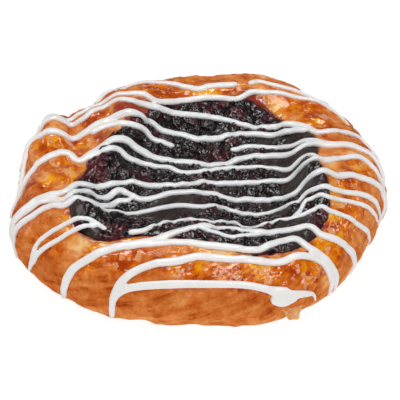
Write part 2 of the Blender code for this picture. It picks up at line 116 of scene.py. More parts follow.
def unit(vectors):
    """Each vector divided by its length."""
    return vectors / np.maximum(np.linalg.norm(vectors, axis=-1, keepdims=True), 1e-12)


def outline_radius(angle):
    """The outline's radius, less the notch where the coil's end is tucked in."""
    off = (angle - TUCK_ANGLE + np.pi) % (2 * np.pi) - np.pi
    return compass(OUTLINE, angle) - TUCK_DEPTH * np.exp(-((off / TUCK_SPREAD) ** 2))


def crest_radius(x, y):
    """The crest lies one shoulder's width inside the outline."""
    return outline_radius(np.arctan2(y, x)) - SHOULDER_WIDTH


def past_edge(x, y):
    """How far places lie outside the filling's edge, in mm; negative inside it."""
    return (np.hypot(x, y) - compass(FILLING_EDGE, np.arctan2(y, x))) / MM


def span(values, digits=1):
    """The least and the greatest of the values, in words."""
    return f"from {round(float(values.min()), digits)} to {round(float(values.max()), digits)}"


print("radius of the outline in mm:", span(outline_radius(np.linspace(0, 2 * np.pi, 360)) / MM))

# %% [markdown]
# The skin itself is one formula. It is the crest's height less the hollow, plus ridges for the
# coils and grooves, and two quarter ovals make the shoulder and the underside. Its normals come
# from its slopes, so they need no formula of their own.

# %% The skin
def ridges(x, y):
    """Sum of the ridges, each height * exp(-(along / length)^2 - (across / width)^2)."""
    total = np.zeros_like(x)
    for middle_x, middle_y, length, width, height, turn in RIDGES:
        cos, sin = np.cos(np.radians(turn)), np.sin(np.radians(turn))
        dx, dy = x / MM - middle_x, y / MM - middle_y
        along, across = dx * cos + dy * sin, dy * cos - dx * sin
        total += height * MM * np.exp(-((along / length) ** 2) - (across / width) ** 2)
    return total


def skin(x, y):
    """Points of the skin: the crest less the hollow, plus the ridges, then two quarter ovals."""
    angle, distance = np.arctan2(y, x), np.hypot(x, y)
    crest = crest_radius(x, y)
    radius = np.minimum(distance, crest)
    inward = np.clip((crest - radius) / HOLLOW_SLOPE, 0, 1)
    near = np.clip(radius / HOLLOW_REACH, 0, 1)
    level = MIDDLE_HEIGHT + (compass(RIM_HEIGHTS, angle) - MIDDLE_HEIGHT) * near
    height = level - HOLLOW_DEPTH * inward**2 * (3 - 2 * inward) + ridges(x, y)
    over = np.clip((distance - crest) / SHOULDER_LENGTH, 0, 1) * np.pi / 2
    under = np.clip((distance - crest - SHOULDER_LENGTH) / UNDER_LENGTH, 0, 1) * np.pi / 2
    radius = radius + SHOULDER_WIDTH * np.sin(over) - UNDER_WIDTH * (1 - np.cos(under))
    height = BELLY_HEIGHT + (height - BELLY_HEIGHT) * np.cos(over) - BELLY_HEIGHT * np.sin(under)
    return polar(radius, angle, height)


def skin_normal(x, y):
    """Unit normals of the skin, from its slopes over a tenth of a millimetre."""
    small = 0.1 * MM
    along_x = skin(x + small, y) - skin(x - small, y)
    along_y = skin(x, y + small) - skin(x, y - small)
    return unit(np.cross(along_x, along_y))


print("crest height at the front in mm:",
      round(1000 * float(skin(np.array(0.0), -crest_radius(np.array(0.0), np.array(-1.0)))[2]), 1))

# %% [markdown]
# Baked dough and crushed fruit are uneven at every scale, and noise gives that. Soft noise blends
# random numbers that sit on a lattice. It makes lumps and streaks, and a few layers of it, each
# half as large as the one before, look natural.

# %% Soft noise
def random_at(corner, seed):
    """A number from 0 to 1 for each whole-number corner, by mixing the bits of its three parts."""
    mixed = corner[..., 0] * 73856093 ^ corner[..., 1] * 19349663 ^ corner[..., 2] * 83492791
    mixed = (mixed ^ seed * 40503) * 1274126177
    mixed = (mixed ^ mixed >> 15) * 2246822519
    return ((mixed ^ mixed >> 13) & 0xFFFFFF) / 0xFFFFFF


def soft_noise(points, size, seed):
    """From -1 to 1: random numbers on a lattice of that size, blended by t * t * (3 - 2 * t).
    The lattice is turned by the seed, so that layers of noise don't line up."""
    turn = np.array([[0.36, 0.48, -0.8], [-0.8, 0.6, 0.0], [0.48, 0.64, 0.6]])
    place = points @ np.linalg.matrix_power(turn, seed % 5 + 1) / size + seed * 7.31
    low = np.floor(place).astype(np.int64)
    t = place - low
    t = t * t * (3 - 2 * t)
    total = np.zeros(points.shape[:-1])
    for corner in np.ndindex(2, 2, 2):
        share = np.prod(np.where(corner, t, 1 - t), -1)
        total += share * random_at(low + corner, seed)
    return 2 * total - 1


def layered_noise(points, size, seed, layers=3):
    """Soft noise plus ever finer and weaker copies of itself, each at half the size."""
    total = sum(soft_noise(points, size / 2**k, seed + k) / 2**k for k in range(layers))
    return total / (2 - 2.0 ** (1 - layers))


sample = np.random.default_rng(1).uniform(-1, 1, (4000, 3))
print("soft noise runs", span(soft_noise(sample, 0.1, 3), 2))

# %% [markdown]
# Cell noise measures the distance to the nearest of many scattered middles. It makes berries and
# flakes, because each middle owns a small patch, and where the two nearest middles are equally
# far, two patches meet in a crease.

# %% Cell noise
def cell_noise(u, v, seed, wrap=None, stray=0.45):
    """For middles that stray from a square lattice of size one: distance to the nearest middle,
    how much further the second nearest is, a random number for the nearest, and the height of a
    plane through it that is tilted at random. Columns repeat after wrap, for a ring."""
    column, row = np.floor(u).astype(np.int64), np.floor(v).astype(np.int64)
    nearest = np.full(np.shape(u), 9.0)
    second, owner, plane = nearest.copy(), np.zeros(np.shape(u)), np.zeros(np.shape(u))
    for dx, dy in np.ndindex(3, 3):
        at, up = column + dx - 1, row + dy - 1
        cell = np.stack([at % wrap if wrap else at, up, np.zeros_like(row)], -1)
        chance = [2 * random_at(cell, seed + k) - 1 for k in range(5)]
        off_u, off_v = u - at - 0.5 - stray * chance[0], v - up - 0.5 - stray * chance[1]
        away = np.hypot(off_u, off_v)
        closer = away < nearest
        second = np.where(closer, nearest, np.minimum(second, away))
        owner = np.where(closer, chance[2] / 2 + 0.5, owner)
        plane = np.where(closer, off_u * chance[3] + off_v * chance[4], plane)
        nearest = np.where(closer, away, nearest)
    return nearest, second - nearest, owner, plane


def blend(low, high, value):
    """0 below low, 1 above high and a soft step between them."""
    t = np.clip((value - low) / (high - low), 0, 1)
    return t * t * (3 - 2 * t)


print("the nearest middle is at most",
      round(float(cell_noise(*50 * sample[:, :2].T, 3)[0].max()), 2), "of a cell away")

# %% [markdown]
# Many features of this pastry are soft patches with a known place: a stain, a pale spot, a pool
# of glaze. One helper adds them up from a short list, each row holding a place in the plan, how
# far it reaches and how strong it is. A second helper measures how far points are from a drawn
# line, for the creases where two coils of dough meet.

# %% Patches and lines
def patches(x, y, rows):
    """Sum of soft spots: strength * exp(-(distance / reach)^2), with places and reaches in mm."""
    total = np.zeros(np.shape(x))
    for place_x, place_y, reach, strength in rows:
        away = np.hypot(x / MM - place_x, y / MM - place_y)
        total += strength * np.exp(-((away / reach) ** 2))
    return total


def distance_to_line(x, y, corners):
    """Distance in mm from each point to a line through the corners, given in mm."""
    nearest = np.full(np.shape(x), 1e3)
    for (ax, ay), (bx, by) in zip(corners[:-1], corners[1:]):
        run_x, run_y = bx - ax, by - ay
        part = ((x / MM - ax) * run_x + (y / MM - ay) * run_y) / (run_x**2 + run_y**2)
        part = np.clip(part, 0, 1)
        away = np.hypot(x / MM - ax - part * run_x, y / MM - ay - part * run_y)
        nearest = np.minimum(nearest, away)
    return nearest


print("a point 4 mm beside a line lies",
      round(float(distance_to_line(3 * MM, 4 * MM, ((0, 0), (9, 0)))), 1), "mm from it")

# %% [markdown]
# Each surface becomes a mesh in the same way: arrays of points and of four-cornered faces. Grids
# that run all the way round share their first and last column, and a pole closes each end, so
# that no seam or hole is left. Named values per point are stored as attributes, and the
# materials read them later.

# %% From arrays to objects
def wrapped_grid(rows, columns, start=0):
    """Faces between rings of points that close on themselves."""
    ring = np.arange(rows - 1)[:, None] * columns + start
    here = np.arange(columns)
    after = (here + 1) % columns
    quads = np.stack([ring + here, ring + after, ring + columns + after, ring + columns + here], -1)
    return quads.reshape(-1, 4)


def fan(ring, pole):
    """Triangles from a ring of point numbers to one pole."""
    return np.stack([ring, np.roll(ring, -1), np.full(len(ring), pole)], -1)


def closed_rings(rows, columns):
    """Faces of rings of points with a pole at each end; the poles are numbered after the rings."""
    ring, count = np.arange(columns), rows * columns
    return [wrapped_grid(rows, columns), fan(ring, count), fan(ring + count - columns, count + 1)]


def band(upper, lower):
    """Faces between two rings of point numbers."""
    return np.stack([upper, np.roll(upper, -1), np.roll(lower, -1), lower], -1)


def square_faces(side):
    """Faces of a square grid of points, and the numbers of its border, in order round it."""
    number = np.arange(side * side).reshape(side, side)
    quads = np.stack([number[:-1, :-1], number[:-1, 1:], number[1:, 1:], number[1:, :-1]], -1)
    border = [number[0, :-1], number[:-1, -1], number[-1, :0:-1], number[:0:-1, 0]]
    return quads.reshape(-1, 4), np.concatenate(border)


def mesh_object(name, points, faces, values=None):
    """A linked object from points, arrays of faces and named values, its faces turned outwards."""
    mesh = bpy.data.meshes.new(name)
    corners = [face for block in faces for face in block.tolist()]
    mesh.from_pydata(points.tolist(), [], corners)
    for label, value in (values or {}).items():
        kind, key = ("FLOAT_VECTOR", "vector") if value.ndim == 2 else ("FLOAT", "value")
        attribute = mesh.attributes.new(label, kind, "POINT")
        attribute.data.foreach_set(key, value.astype(np.float32).ravel())
    work = bmesh.new()
    work.from_mesh(mesh)
    bmesh.ops.recalc_face_normals(work, faces=work.faces)
    work.to_mesh(mesh)
    work.free()
    mesh.shade_smooth()
    made = bpy.data.objects.new(name, mesh)
    bpy.context.scene.collection.objects.link(made)
    print(name, "has", sum(len(face) - 2 for face in corners), "triangles")
    return made


# %% [markdown]
# The dough was rolled and folded into many thin layers, and its patterns follow them. On top the
# layers run along the coil, and down the side they climb at a slant. Noise can be made to do the
# same: it reads places that are squeezed in one direction, so its lumps come out as streaks. Two
# functions give such places.

# %% Flow of the layers
LAYER_STRETCH = 3.2         # layers are this much longer along the coil than across it
FOLD_CIRCLE = 58 * MM       # folds that climb the side: radius of the circle that they go round
FOLD_SLANT = 24             # radians for each metre down the side
FOLD_STRETCH = 4.5          # they are this much longer than wide
FOLD_SIZE = 3.6 * MM


def coil_flow(x, y):
    """Places stretched along the coil: a circle made smaller, and the distance from the middle.
    Noise that reads them comes out in streaks that follow the coil, with no seam."""
    angle = np.arctan2(y, x)
    return polar(outline_radius(angle) / LAYER_STRETCH, angle, np.hypot(x, y))


def slanted_flow(x, y):
    """Places on a circle that turns with the way down the side, and that way made shorter.
    Noise that reads them comes out in streaks that climb to the right."""
    down = np.hypot(x, y) - skin(x, y)[..., 2]
    return polar(FOLD_CIRCLE, np.arctan2(y, x) + FOLD_SLANT * down, down / FOLD_STRETCH)


def folds(x, y):
    """Folds from -1 to 1: soft noise of the slanted places."""
    return soft_noise(slanted_flow(x, y), FOLD_SIZE, 63)


print("folds are about", round(1000 * FOLD_SIZE * FOLD_STRETCH), "mm long and",
      round(1000 * FOLD_SIZE, 1), "mm wide")

# %% [markdown]
# Where one turn of the coil meets the next there is a sharp crease, and where the glaze ran
# together it left smooth pools of deep orange. Both have known places on this danish, so they are
# drawn: the creases as lines, which then stray a little, and the pools as soft spots.

# %% Creases and pools of glaze
WANDER = 1.1 * MM           # creases stray this far from their drawn lines

# Creases between the turns of the coil: depth and half width in mm, then the line.
CREASES = (
    (1.4, 1.6, ((-47, 40), (-44, 33), (-43, 24), (-42.5, 15), (-41, 8), (-40, 3))),
    (0.9, 1.1, ((-30, 45), (-27, 41), (-21, 39), (-12, 41), (0, 44))),
    (0.9, 1.0, ((38, -42), (41, -46), (42, -51), (41, -57))),
    (0.6, 0.9, ((47, -30), (52, -36), (55, -44))),
    (0.7, 1.0, ((44, 22), (50, 20), (58, 19))),
    (0.5, 0.9, ((-50, 6), (-56, 2), (-61, 1))),
    (0.5, 0.8, ((20, -50), (24, -55), (27, -62))),
)

# Pools of glaze, in mm: place, reach and strength. The crust is calmer under them.
GLAZE_POOLS = (
    (16, -53, 5, 1.0), (23, -54, 6, 1.2), (33, -47, 5, 1.0), (43, -35, 6, 1.0), (46, -28, 5, 0.8),
    (40, -40, 5, 0.7), (38, 33, 7, 0.5), (31, 36, 5, 0.4), (-42, 13, 4, 1.0), (-40, 6, 3, 0.6),
    (45, -12, 5, 0.6), (50, 0, 5, 0.5), (-48, 10, 7, 0.5), (-15, 44, 8, 0.5), (5, 45, 7, 0.4),
    (-23, -46, 5, 1.0), (-46, 9, 6, 1.0), (-45, -7, 4, 0.8), (-7, -52, 5, 0.9), (37, -52, 4, 0.8),
    (40, 26, 5, 0.4), (-35, 24, 5, 0.6), (48, -18, 4, 0.7), (48, -27, 5, 0.9), (43, -40, 5, 0.7),
    (52, -2, 4, 0.6), (-32, -46, 4, 0.6), (7, -51, 4, -0.4), (11, -52, 3.5, 0.6), (-46, 0, 4, 0.9),
)


def crease_depth(x, y):
    """Each crease falls to its depth by exp(-distance / half width), along a line that strays."""
    points = flat(x, y)
    off_x, off_y = (WANDER * layered_noise(points, 6 * MM, seed) for seed in (18, 19))
    total = np.zeros(np.shape(x))
    for depth, half_width, corners in CREASES:
        away = distance_to_line(x + off_x, y + off_y, corners)
        total += depth * MM * np.exp(-away / half_width)
    return total


print(len(CREASES), "creases and", len(GLAZE_POOLS), "pools of glaze")

# %% [markdown]
# The relief is what makes the crust look baked, and it is a sum. The same slow waves as on the
# solid make soft lumps. Over them go the edges of the laminated layers, flat flakes of three
# sizes that each lean their own way, ledges, wrinkles and the slanted folds, and the creases are
# taken away. Glaze fills the fine relief, so it is calmer in the pools.

# %% Relief of the crust
CRUST_RELIEF = 0.45 * MM
CRUST_WAVE = 13 * MM
CRUST_WAVES = 9
WAVE_SPREAD = (0.6, 1.5)

LAYER_SIZE = 3.8 * MM
LAYERS_ROUND = 26           # layers round the coil
LAYER_STEP = 0.3 * MM
LAYER_BEND = 0.4            # layers are bent by this part of their length
FLAKES = ((4.6 * MM, 0.62 * MM), (2.3 * MM, 0.28 * MM), (1.3 * MM, 0.12 * MM))  # size, tilt
FLAKE_BEND = 0.35           # and flakes by this part of their size
LEDGE_EVERY = 5.5 * MM
LEDGE_WANDER = 1.3          # ledges stray by this many times their distance
LEDGE_HEIGHT = 0.4 * MM
WRINKLE_SIZE = 1.6 * MM
WRINKLE_HEIGHT = 0.16 * MM
PUCKER_SIZE = 1.2 * MM
PUCKER_HEIGHT = 0.1 * MM
FOLD_HEIGHT = 0.3 * MM
GLAZE_CALM = 0.7            # part of the fine relief that a pool of glaze fills


def crust_waves(points):
    """The solid's soft lumps: a sum of sine waves of random directions in space."""
    chance = np.random.default_rng(7)
    direction = unit(chance.normal(size=(CRUST_WAVES, 3)))
    length = CRUST_WAVE * chance.uniform(*WAVE_SPREAD, CRUST_WAVES)
    phase = chance.uniform(0, 2 * np.pi, CRUST_WAVES)
    waves = np.sin(2 * np.pi * (points @ direction.T) / length + phase)
    return CRUST_RELIEF * waves.sum(-1) / np.sqrt(CRUST_WAVES)


def crust_relief(x, y):
    """Height over the smooth skin, and a tone from -1 to 1 that changes with the relief.
    Waves + layers + tilted flakes + ledges + wrinkles + folds - drawn creases."""
    points, flow = skin(x, y), coil_flow(x, y)
    drift = soft_noise(points, 9 * MM, 21)
    round_part = np.arctan2(y, x) / (2 * np.pi) * LAYERS_ROUND
    across = flow[..., 2] / LAYER_SIZE
    _, gap, owner, _ = cell_noise(round_part + LAYER_BEND * drift, across + drift,
                                  31, LAYERS_ROUND)
    height = LAYER_STEP * (owner - 0.5) * blend(0.0, 0.35, gap)
    tone = (2 * owner - 1) * blend(0.0, 0.3, gap)
    calm = 1 - GLAZE_CALM * np.clip(patches(x, y, GLAZE_POOLS), 0, 1)
    for number, (size, rise) in enumerate(FLAKES):
        shift = FLAKE_BEND * soft_noise(points, 2 * size, 41 + number)
        _, gap, owner, plane = cell_noise(x / size + shift, y / size - shift, 45 + 10 * number)
        height += rise * plane * blend(0.0, 0.3, gap) * (calm if number else 1)
        tone += (2 * owner - 1) * blend(0.0, 0.3, gap)
    saw = (flow[..., 2] / LEDGE_EVERY + LEDGE_WANDER * soft_noise(flow, 11 * MM, 33)) % 1
    ledges = blend(0.1, 0.7, soft_noise(points, 12 * MM, 35))
    height += LEDGE_HEIGHT * ledges * (saw - blend(0.8, 1.0, saw))
    height += WRINKLE_HEIGHT * calm * layered_noise(flow, WRINKLE_SIZE, 51)
    height += PUCKER_HEIGHT * calm * layered_noise(points, PUCKER_SIZE, 61)
    height += FOLD_HEIGHT * folds(x, y)
    return crust_waves(points) + height - crease_depth(x, y), tone / (1 + len(FLAKES))


def crust_height(x, y):
    """The relief's height alone."""
    return crust_relief(x, y)[0]


front = np.linspace(-20, 20, 81) * MM, np.full(81, -50 * MM)
print("relief along the front in mm:", span(crust_height(*front) / MM))

# %% [markdown]
# Next comes how the crust is baked. In some places it stayed pale or turned dark, and here and
# there juice ran over the edge. Some of the pale spots are painted highlights, where the glaze
# catches the light. Noise can't know where, so these spots are placed where this danish has
# them, as the pools of glaze are. A spot is one short row, which is easy to move.

# %% Stains, pale spots and dark spots
# Places in mm, reach and strength.
STAINS = (
    (-23, 26, 5, 1.0), (-20, 30, 4, 0.9), (-28, 26, 3, 0.6), (-33, 15, 3, 0.9), (-30, 18, 3, 0.5),
    (-39, -1, 2.5, 0.4), (-38, -8, 2.5, 0.4), (15, 41, 3.2, 1.0), (20, 39, 3, 0.7),
    (-9, -41, 3, 0.6), (38, -23, 2, 0.5), (-26, -42, 2, 0.3),
)
# Pale spots: paler baking, and some are painted highlights where the glaze catches the light.
PALE_AND_HIGHLIGHT_SPOTS = (
    (-41, -39, 4, 0.5), (-36, -40, 4, 0.6), (-33, -43, 4, 0.8), (0, -45, 4, 0.6), (9, -45, 5, 0.9),
    (15, -46, 4, 1.0), (-40, 9, 3, 0.5), (-41, 1, 3, 0.5), (-38, 14, 2.5, 0.5), (42, -2, 4, 0.5),
    (26, 35, 4, 0.5), (32, 31, 4, 0.3), (36, 38, 6, -0.2), (45, -13, 4, 0.4), (-45, -5, 4, 0.2),
    (8, 43, 4, 0.3), (50, 4, 5, 1.0), (49, -26, 4, 0.2), (41, -37, 4, 0.6), (43, -49, 4, 0.9),
    (60, -21, 6, 0.6), (-50, 18, 5, 0.3), (-36, 12, 3, 0.5), (33, -44, 2.5, 0.5), (0, -51, 3, 0.45),
    (5, -54, 4, 0.4), (16, -53, 3, 0.4), (22, -53, 4, 0.4), (-40, -54, 5, 0.4), (55, -37, 5, 0.4),
    (-30, 62, 8, 0.3),
)
DARK_SPOTS = (
    (-16, -45, 4, 0.5), (-13, -53, 6, 0.4), (-51, 8, 6, 0.4), (-54, 0, 6, 0.4), (-51, -25, 6, 0.5),
    (-46, -21, 4, 0.4), (46, 21, 6, 0.5), (-16, -53, 5, 0.3), (42, 26, 4, 0.5), (-30, 27, 4, 0.2),
    (8, -58, 6, 0.3), (30, -64, 7, 0.3), (-9, -64, 7, 0.2), (-35, -58, 6, 0.2), (40, 34, 6, 0.5),
    (-20, 48, 7, 0.4), (-35, 24, 4, 1.2), (-7, 41, 4, 0.8), (-23, -46, 4, 1.0), (-56, -16, 6, 0.9),
    (-50, -41, 5, 0.4), (54, -9, 4, 0.5), (0, -65, 5, 0.2),
)
print(len(STAINS), "stains,", len(PALE_AND_HIGHLIGHT_SPOTS), "pale and", len(DARK_SPOTS), "dark spots")

# %% [markdown]
# The baking is kept as values at each place, and the material reads them later. The crust is
# golden where it slopes to the filling, browner on the rim and down the side, and paler again at
# the foot. Noise makes that uneven, and the spots are added to it.

# %% Browning, juice and glaze
# Bake runs from 0, pale, to 1, brown: its level beside the filling, and what changes it.
BAKE_LEVEL = 0.40
BAKE_RIM = 0.16             # more on the rim
BAKE_SIDE = 0.11            # more down the side
BAKE_FOOT = 0.2             # less at the foot
BAKE_BLOTCHES = (0.12, 0.2)     # broad and middling blotches
BAKE_CALM = 0.9             # part of these blotches that is missing on the side
BAKE_FOLDS = 0.1            # less on the folds
BAKE_PALE_AND_HIGHLIGHT = 0.35            # less at the pale spots; some are painted highlights
BAKE_DARK = 0.22            # more at the dark spots
BAKE_FLAKES = (0.3, 0.15)   # tones of the flakes on top, and how much less on the side
CREASE_SHADE = 0.25          # painted shade: darker for each mm of depth of a crease

JUICE_RIM = 0.75            # juice along the filling's edge
JUICE_CREEP = 0.7           # mm over which it fades
GLAZE_LEVEL = 0.38
GLAZE_POOLED = 0.55         # more in the pools
GLAZE_UNEVEN = 0.45
GLAZE_SIDE = 0.5            # less on the side


def crust_values(x, y):
    """Bake, stain and glaze of the crust, each from 0 to 1, how far down the side a place is, and
    the two flows. The first three are a level, plus or minus noise and the listed spots."""
    points, past = skin(x, y), past_edge(x, y)
    over = (np.hypot(x, y) - crest_radius(x, y)) / MM
    broad, middling = (layered_noise(points, size * MM, seed) for size, seed in ((14, 71), (6, 77)))
    blotches = BAKE_BLOTCHES[0] * broad + BAKE_BLOTCHES[1] * middling
    low = blend(6, 20, over)
    bake = BAKE_LEVEL + BAKE_RIM * blend(0, 9, past) + BAKE_SIDE * low
    bake = bake + (1 - BAKE_CALM * low) * blotches - BAKE_FOLDS * folds(x, y)
    # Pale spots lighten the bake; some of them are painted highlights.
    bake = bake - BAKE_FOOT * blend(25, 33, over) - BAKE_PALE_AND_HIGHLIGHT * patches(x, y, PALE_AND_HIGHLIGHT_SPOTS)
    bake = bake + BAKE_DARK * patches(x, y, DARK_SPOTS) * (1 + 1.5 * middling)
    bake = bake + (BAKE_FLAKES[0] - BAKE_FLAKES[1] * low) * crust_relief(x, y)[1]
    # Painted shade: the crust is darkened in the creases, by their depth.
    bake = bake + CREASE_SHADE * crease_depth(x, y) / MM
    ragged = layered_noise(points, 2.5 * MM, 81)
    rim = JUICE_RIM * np.exp(-np.clip(past + 0.9 * ragged, 0, None) / JUICE_CREEP)
    stain = patches(x, y, STAINS) * (1 + 0.8 * ragged) + rim * (past > -2)
    glaze = GLAZE_LEVEL + GLAZE_POOLED * patches(x, y, GLAZE_POOLS)
    glaze = glaze + GLAZE_UNEVEN * layered_noise(points, 6 * MM, 91)
    glaze = glaze - GLAZE_SIDE * blend(14, 26, over)
    stray = np.stack([WANDER * layered_noise(points, 5 * MM, seed) for seed in (95, 96, 97)], -1)
    return {"bake": np.clip(bake, 0, 1), "stain": np.clip(stain, 0, 1),
            "glaze": np.clip(glaze, 0, 1), "side": blend(0, 9, over),
            "flow": coil_flow(x, y) + stray, "climb": slanted_flow(x, y) + stray}


print("bake along the front:", span(crust_values(*front)["bake"], 2))

# %% [markdown]
# The crust's mesh is made of rings. They start at a pole under the base, climb the side, roll
# over the rim, dip under the filling's edge and end at a second pole under the filling. Each
# point is a place on the skin, moved along the skin's normal by the relief.

# %% The crust
CRUST_COLUMNS = 640
CRUST_RINGS = 132
BASE_RINGS = 4
TUCKED_UNDER = 4 * MM       # how far the crust runs on under the filling
UNDER_FILLING = (0.1, 0.5)  # mm under the skin at the edge, and more for each mm further in
FOOT_WAVE = 1.6 * MM        # the foot's line goes in and out
FOOT_RAISED = 1.8 * MM      # and lifts off the table in places


def make_crust():
    """Rings of the skin, each point lifted by the relief, from the foot in under the filling."""
    angle = np.arange(CRUST_COLUMNS) / CRUST_COLUMNS * 2 * np.pi
    edge = compass(FILLING_EDGE, angle)
    base = outline_radius(angle) - SHOULDER_WIDTH + SHOULDER_LENGTH + UNDER_LENGTH
    part = np.linspace(1, 0, CRUST_RINGS)[:, None]
    distance = edge - TUCKED_UNDER + (base - edge + TUCKED_UNDER) * part
    x, y = distance * np.cos(angle), distance * np.sin(angle)
    points = skin(x, y)
    foot = blend(0, 1, points[..., 2] / BELLY_HEIGHT)
    past = (distance - edge) / MM
    sunk = MM * (UNDER_FILLING[0] + UNDER_FILLING[1] * np.clip(-past, 0, None))
    lift = crust_height(x, y) * foot * blend(-4, 1, past) - sunk
    points = points + skin_normal(x, y) * lift[..., None]
    wave = FOOT_WAVE * layered_noise(points * (1, 1, 0), 8 * MM, 101) * (1 - foot)
    points += (wave / np.hypot(x, y))[..., None] * flat(x, y)
    raised = FOOT_RAISED * np.clip(layered_noise(points * (1, 1, 0), 11 * MM, 103), 0, 1)
    points[..., 2] = np.clip(points[..., 2], 0, None) + raised * (1 - foot)
    under = [points[0] * (share, share, 0) for share in np.linspace(0.3, 0.97, BASE_RINGS)]
    inner = points[-1] * 0.9
    inner[:, 2] = points[-1, :, 2].min() - 3 * MM
    rings = np.concatenate([np.stack(under), points, inner[None]])
    poles = np.array([[0, 0, 0], [0, 0, inner[0, 2]]])
    count = rings.shape[0] * CRUST_COLUMNS
    plan = (np.pad(places, ((BASE_RINGS, 1), (0, 0)), mode="edge") for places in (x, y))
    values = {label: np.concatenate([value.reshape(count, *value.shape[2:]), value[0, :2]])
              for label, value in crust_values(*plan).items()}
    return mesh_object("crust", np.concatenate([rings.reshape(-1, 3), poles]),
                       closed_rings(rings.shape[0], CRUST_COLUMNS), values)


crust = make_crust()

# %% [markdown]
# The filling is cooked berries under a skin of gel. Where the gel is thick it is smooth, and
# where it is thin the crushed berries show as tight lumps and wrinkles. So a map of the film
# mixes two reliefs. The berries are cells of two sizes with round caps, and wrinkles on them.
# In one place on the right the gel has settled a little.

# %% Relief of the filling
BERRY_SIZE = 4.6 * MM
BERRY_HEIGHT = 1.5 * MM
LUMP_SIZE = 2.1 * MM
LUMP_HEIGHT = 0.5 * MM
PEEL_SIZE = 1.5 * MM
PEEL_HEIGHT = 0.22 * MM
BERRY_BEND = 1.4 * MM       # berries and lumps are bent out of round by this much
CREASE_WIDTH = 0.3          # part of a berry
CAP_RADIUS = 0.85           # part of a berry
CAP_LEAST = 0.35            # part of the height that stays in the creases and on the lowest berry
CAP_TILT = 0.45             # how much each cap leans
FILM_LEVEL = 0.28           # the film lies at this part of a berry's height
FILM_WAVES = 0.18 * MM
FILM_WANDER = 0.5           # how far noise moves the film's borders
FILM_SHOWS = 0.17           # part of the berries' relief that shows through it

# Where the gel is thick: place and reach in mm, and strength.
FILM_PATCHES = (
    (-39, -29, 5, 1.0), (-33, -37, 4, 0.7), (-14, -22, 9, 0.8), (-3, -19, 9, 0.85),
    (-8, -38, 5, 0.6), (4, -38, 4, 0.5), (21, -14, 4, 0.6), (31, -6, 5, 1.0), (36, -14, 6, 1.0),
    (25, -21, 4, 0.9), (33, -28, 6, 1.0), (30, -41, 7, 0.9), (22, 23, 4, 0.7), (34, 19, 6, 1.0),
    (36, 9, 6, 1.0), (24, 10, 5, 0.9), (31, 2, 5, 0.9), (8, -6, 5, 0.6), (27, -33, 4, 0.7),
)

SETTLED = ((38.5, -10, 6, 0.55),)       # the filling sank here: place, reach and depth in mm


def film(x, y):
    """How smooth the gel is at each place, from 0, bare berries, to 1."""
    points = flat(x, y)
    wander = FILM_WANDER * layered_noise(points, 5 * MM, 111)
    return blend(0.3, 0.85, patches(x, y, FILM_PATCHES) + wander)


def filling_relief(x, y):
    """Height of the filling over the smooth skin, and two values for its colours: how deep in a
    crease a place is, and a random number for its berry. Berries and lumps are caps with creases
    between them and wrinkles on them; where the gel is thick, little of them shows."""
    points = flat(x, y)
    drift = BERRY_BEND * soft_noise(points, 4 * MM, 121)
    rough = np.zeros(np.shape(x))
    for size, rise, seed in ((LUMP_SIZE, LUMP_HEIGHT, 141), (BERRY_SIZE, BERRY_HEIGHT, 131)):
        away, gap, owner, plane = cell_noise((x + drift) / size, (y - drift) / size, seed)
        dome = np.sqrt(np.clip(1 - (away / CAP_RADIUS) ** 2, 0, 1))
        cap = dome * (CAP_LEAST + (1 - CAP_LEAST) * blend(0, CREASE_WIDTH, gap))
        rough += rise * ((CAP_LEAST + (1 - CAP_LEAST) * owner) * cap + CAP_TILT * plane)
    peel = np.abs(layered_noise(points + drift[..., None], PEEL_SIZE, 151))
    rough += PEEL_HEIGHT * (0.6 - 2.5 * peel)
    smooth = BERRY_HEIGHT * FILM_LEVEL + FILM_WAVES * layered_noise(points, 3 * MM, 161)
    cover = film(x, y)
    crease = (1 - blend(0, CREASE_WIDTH, gap)) * (1 - cover)
    height = rough * (1 - cover) + (smooth + FILM_SHOWS * (rough - smooth)) * cover
    return height - MM * patches(x, y, SETTLED), crease, owner


def filling_height(x, y):
    """The relief's height alone."""
    return filling_relief(x, y)[0]


across = np.linspace(-25, 25, 101) * MM
print("relief across the filling in mm:", span(filling_height(across, 0 * across) / MM))

# %% [markdown]
# Berries are as fine at the edge as in the middle, so the filling's mesh needs points that are
# evenly spread. Rings would crowd them in the middle. A square grid bent into a disc doesn't, and
# the loose flake is made from one too.

# %% A square bent into a disc
def disc_grid(side):
    """Distance from 0 to 1 and angle of the points of a square grid bent into a disc: each square
    ring becomes a circle, and the place along a square's side becomes an eighth of a turn."""
    line = np.linspace(-1, 1, side)
    u, v = np.meshgrid(line, line)
    wide = np.abs(u) >= np.abs(v)
    ratio = np.where(wide, v, u) / np.where(wide, np.where(u == 0, 1, u), np.where(v == 0, 1, v))
    turn = np.where(wide, ratio * np.pi / 4, np.pi / 2 - ratio * np.pi / 4)
    turn = turn + np.pi * np.where(wide, u < 0, v < 0)
    return np.maximum(np.abs(u), np.abs(v)), turn


print("a disc made from 9 by 9 points has", int((disc_grid(9)[0] == 1).sum()), "on its edge")

# %% [markdown]
# The filling's edge is ragged: juice and berries creep a little way over the crust. The mesh
# runs past the edge and dives under the crust there, so the visible line is where the two
# surfaces cut each other, and the berries shape it. A skirt and a pole under it close the body.

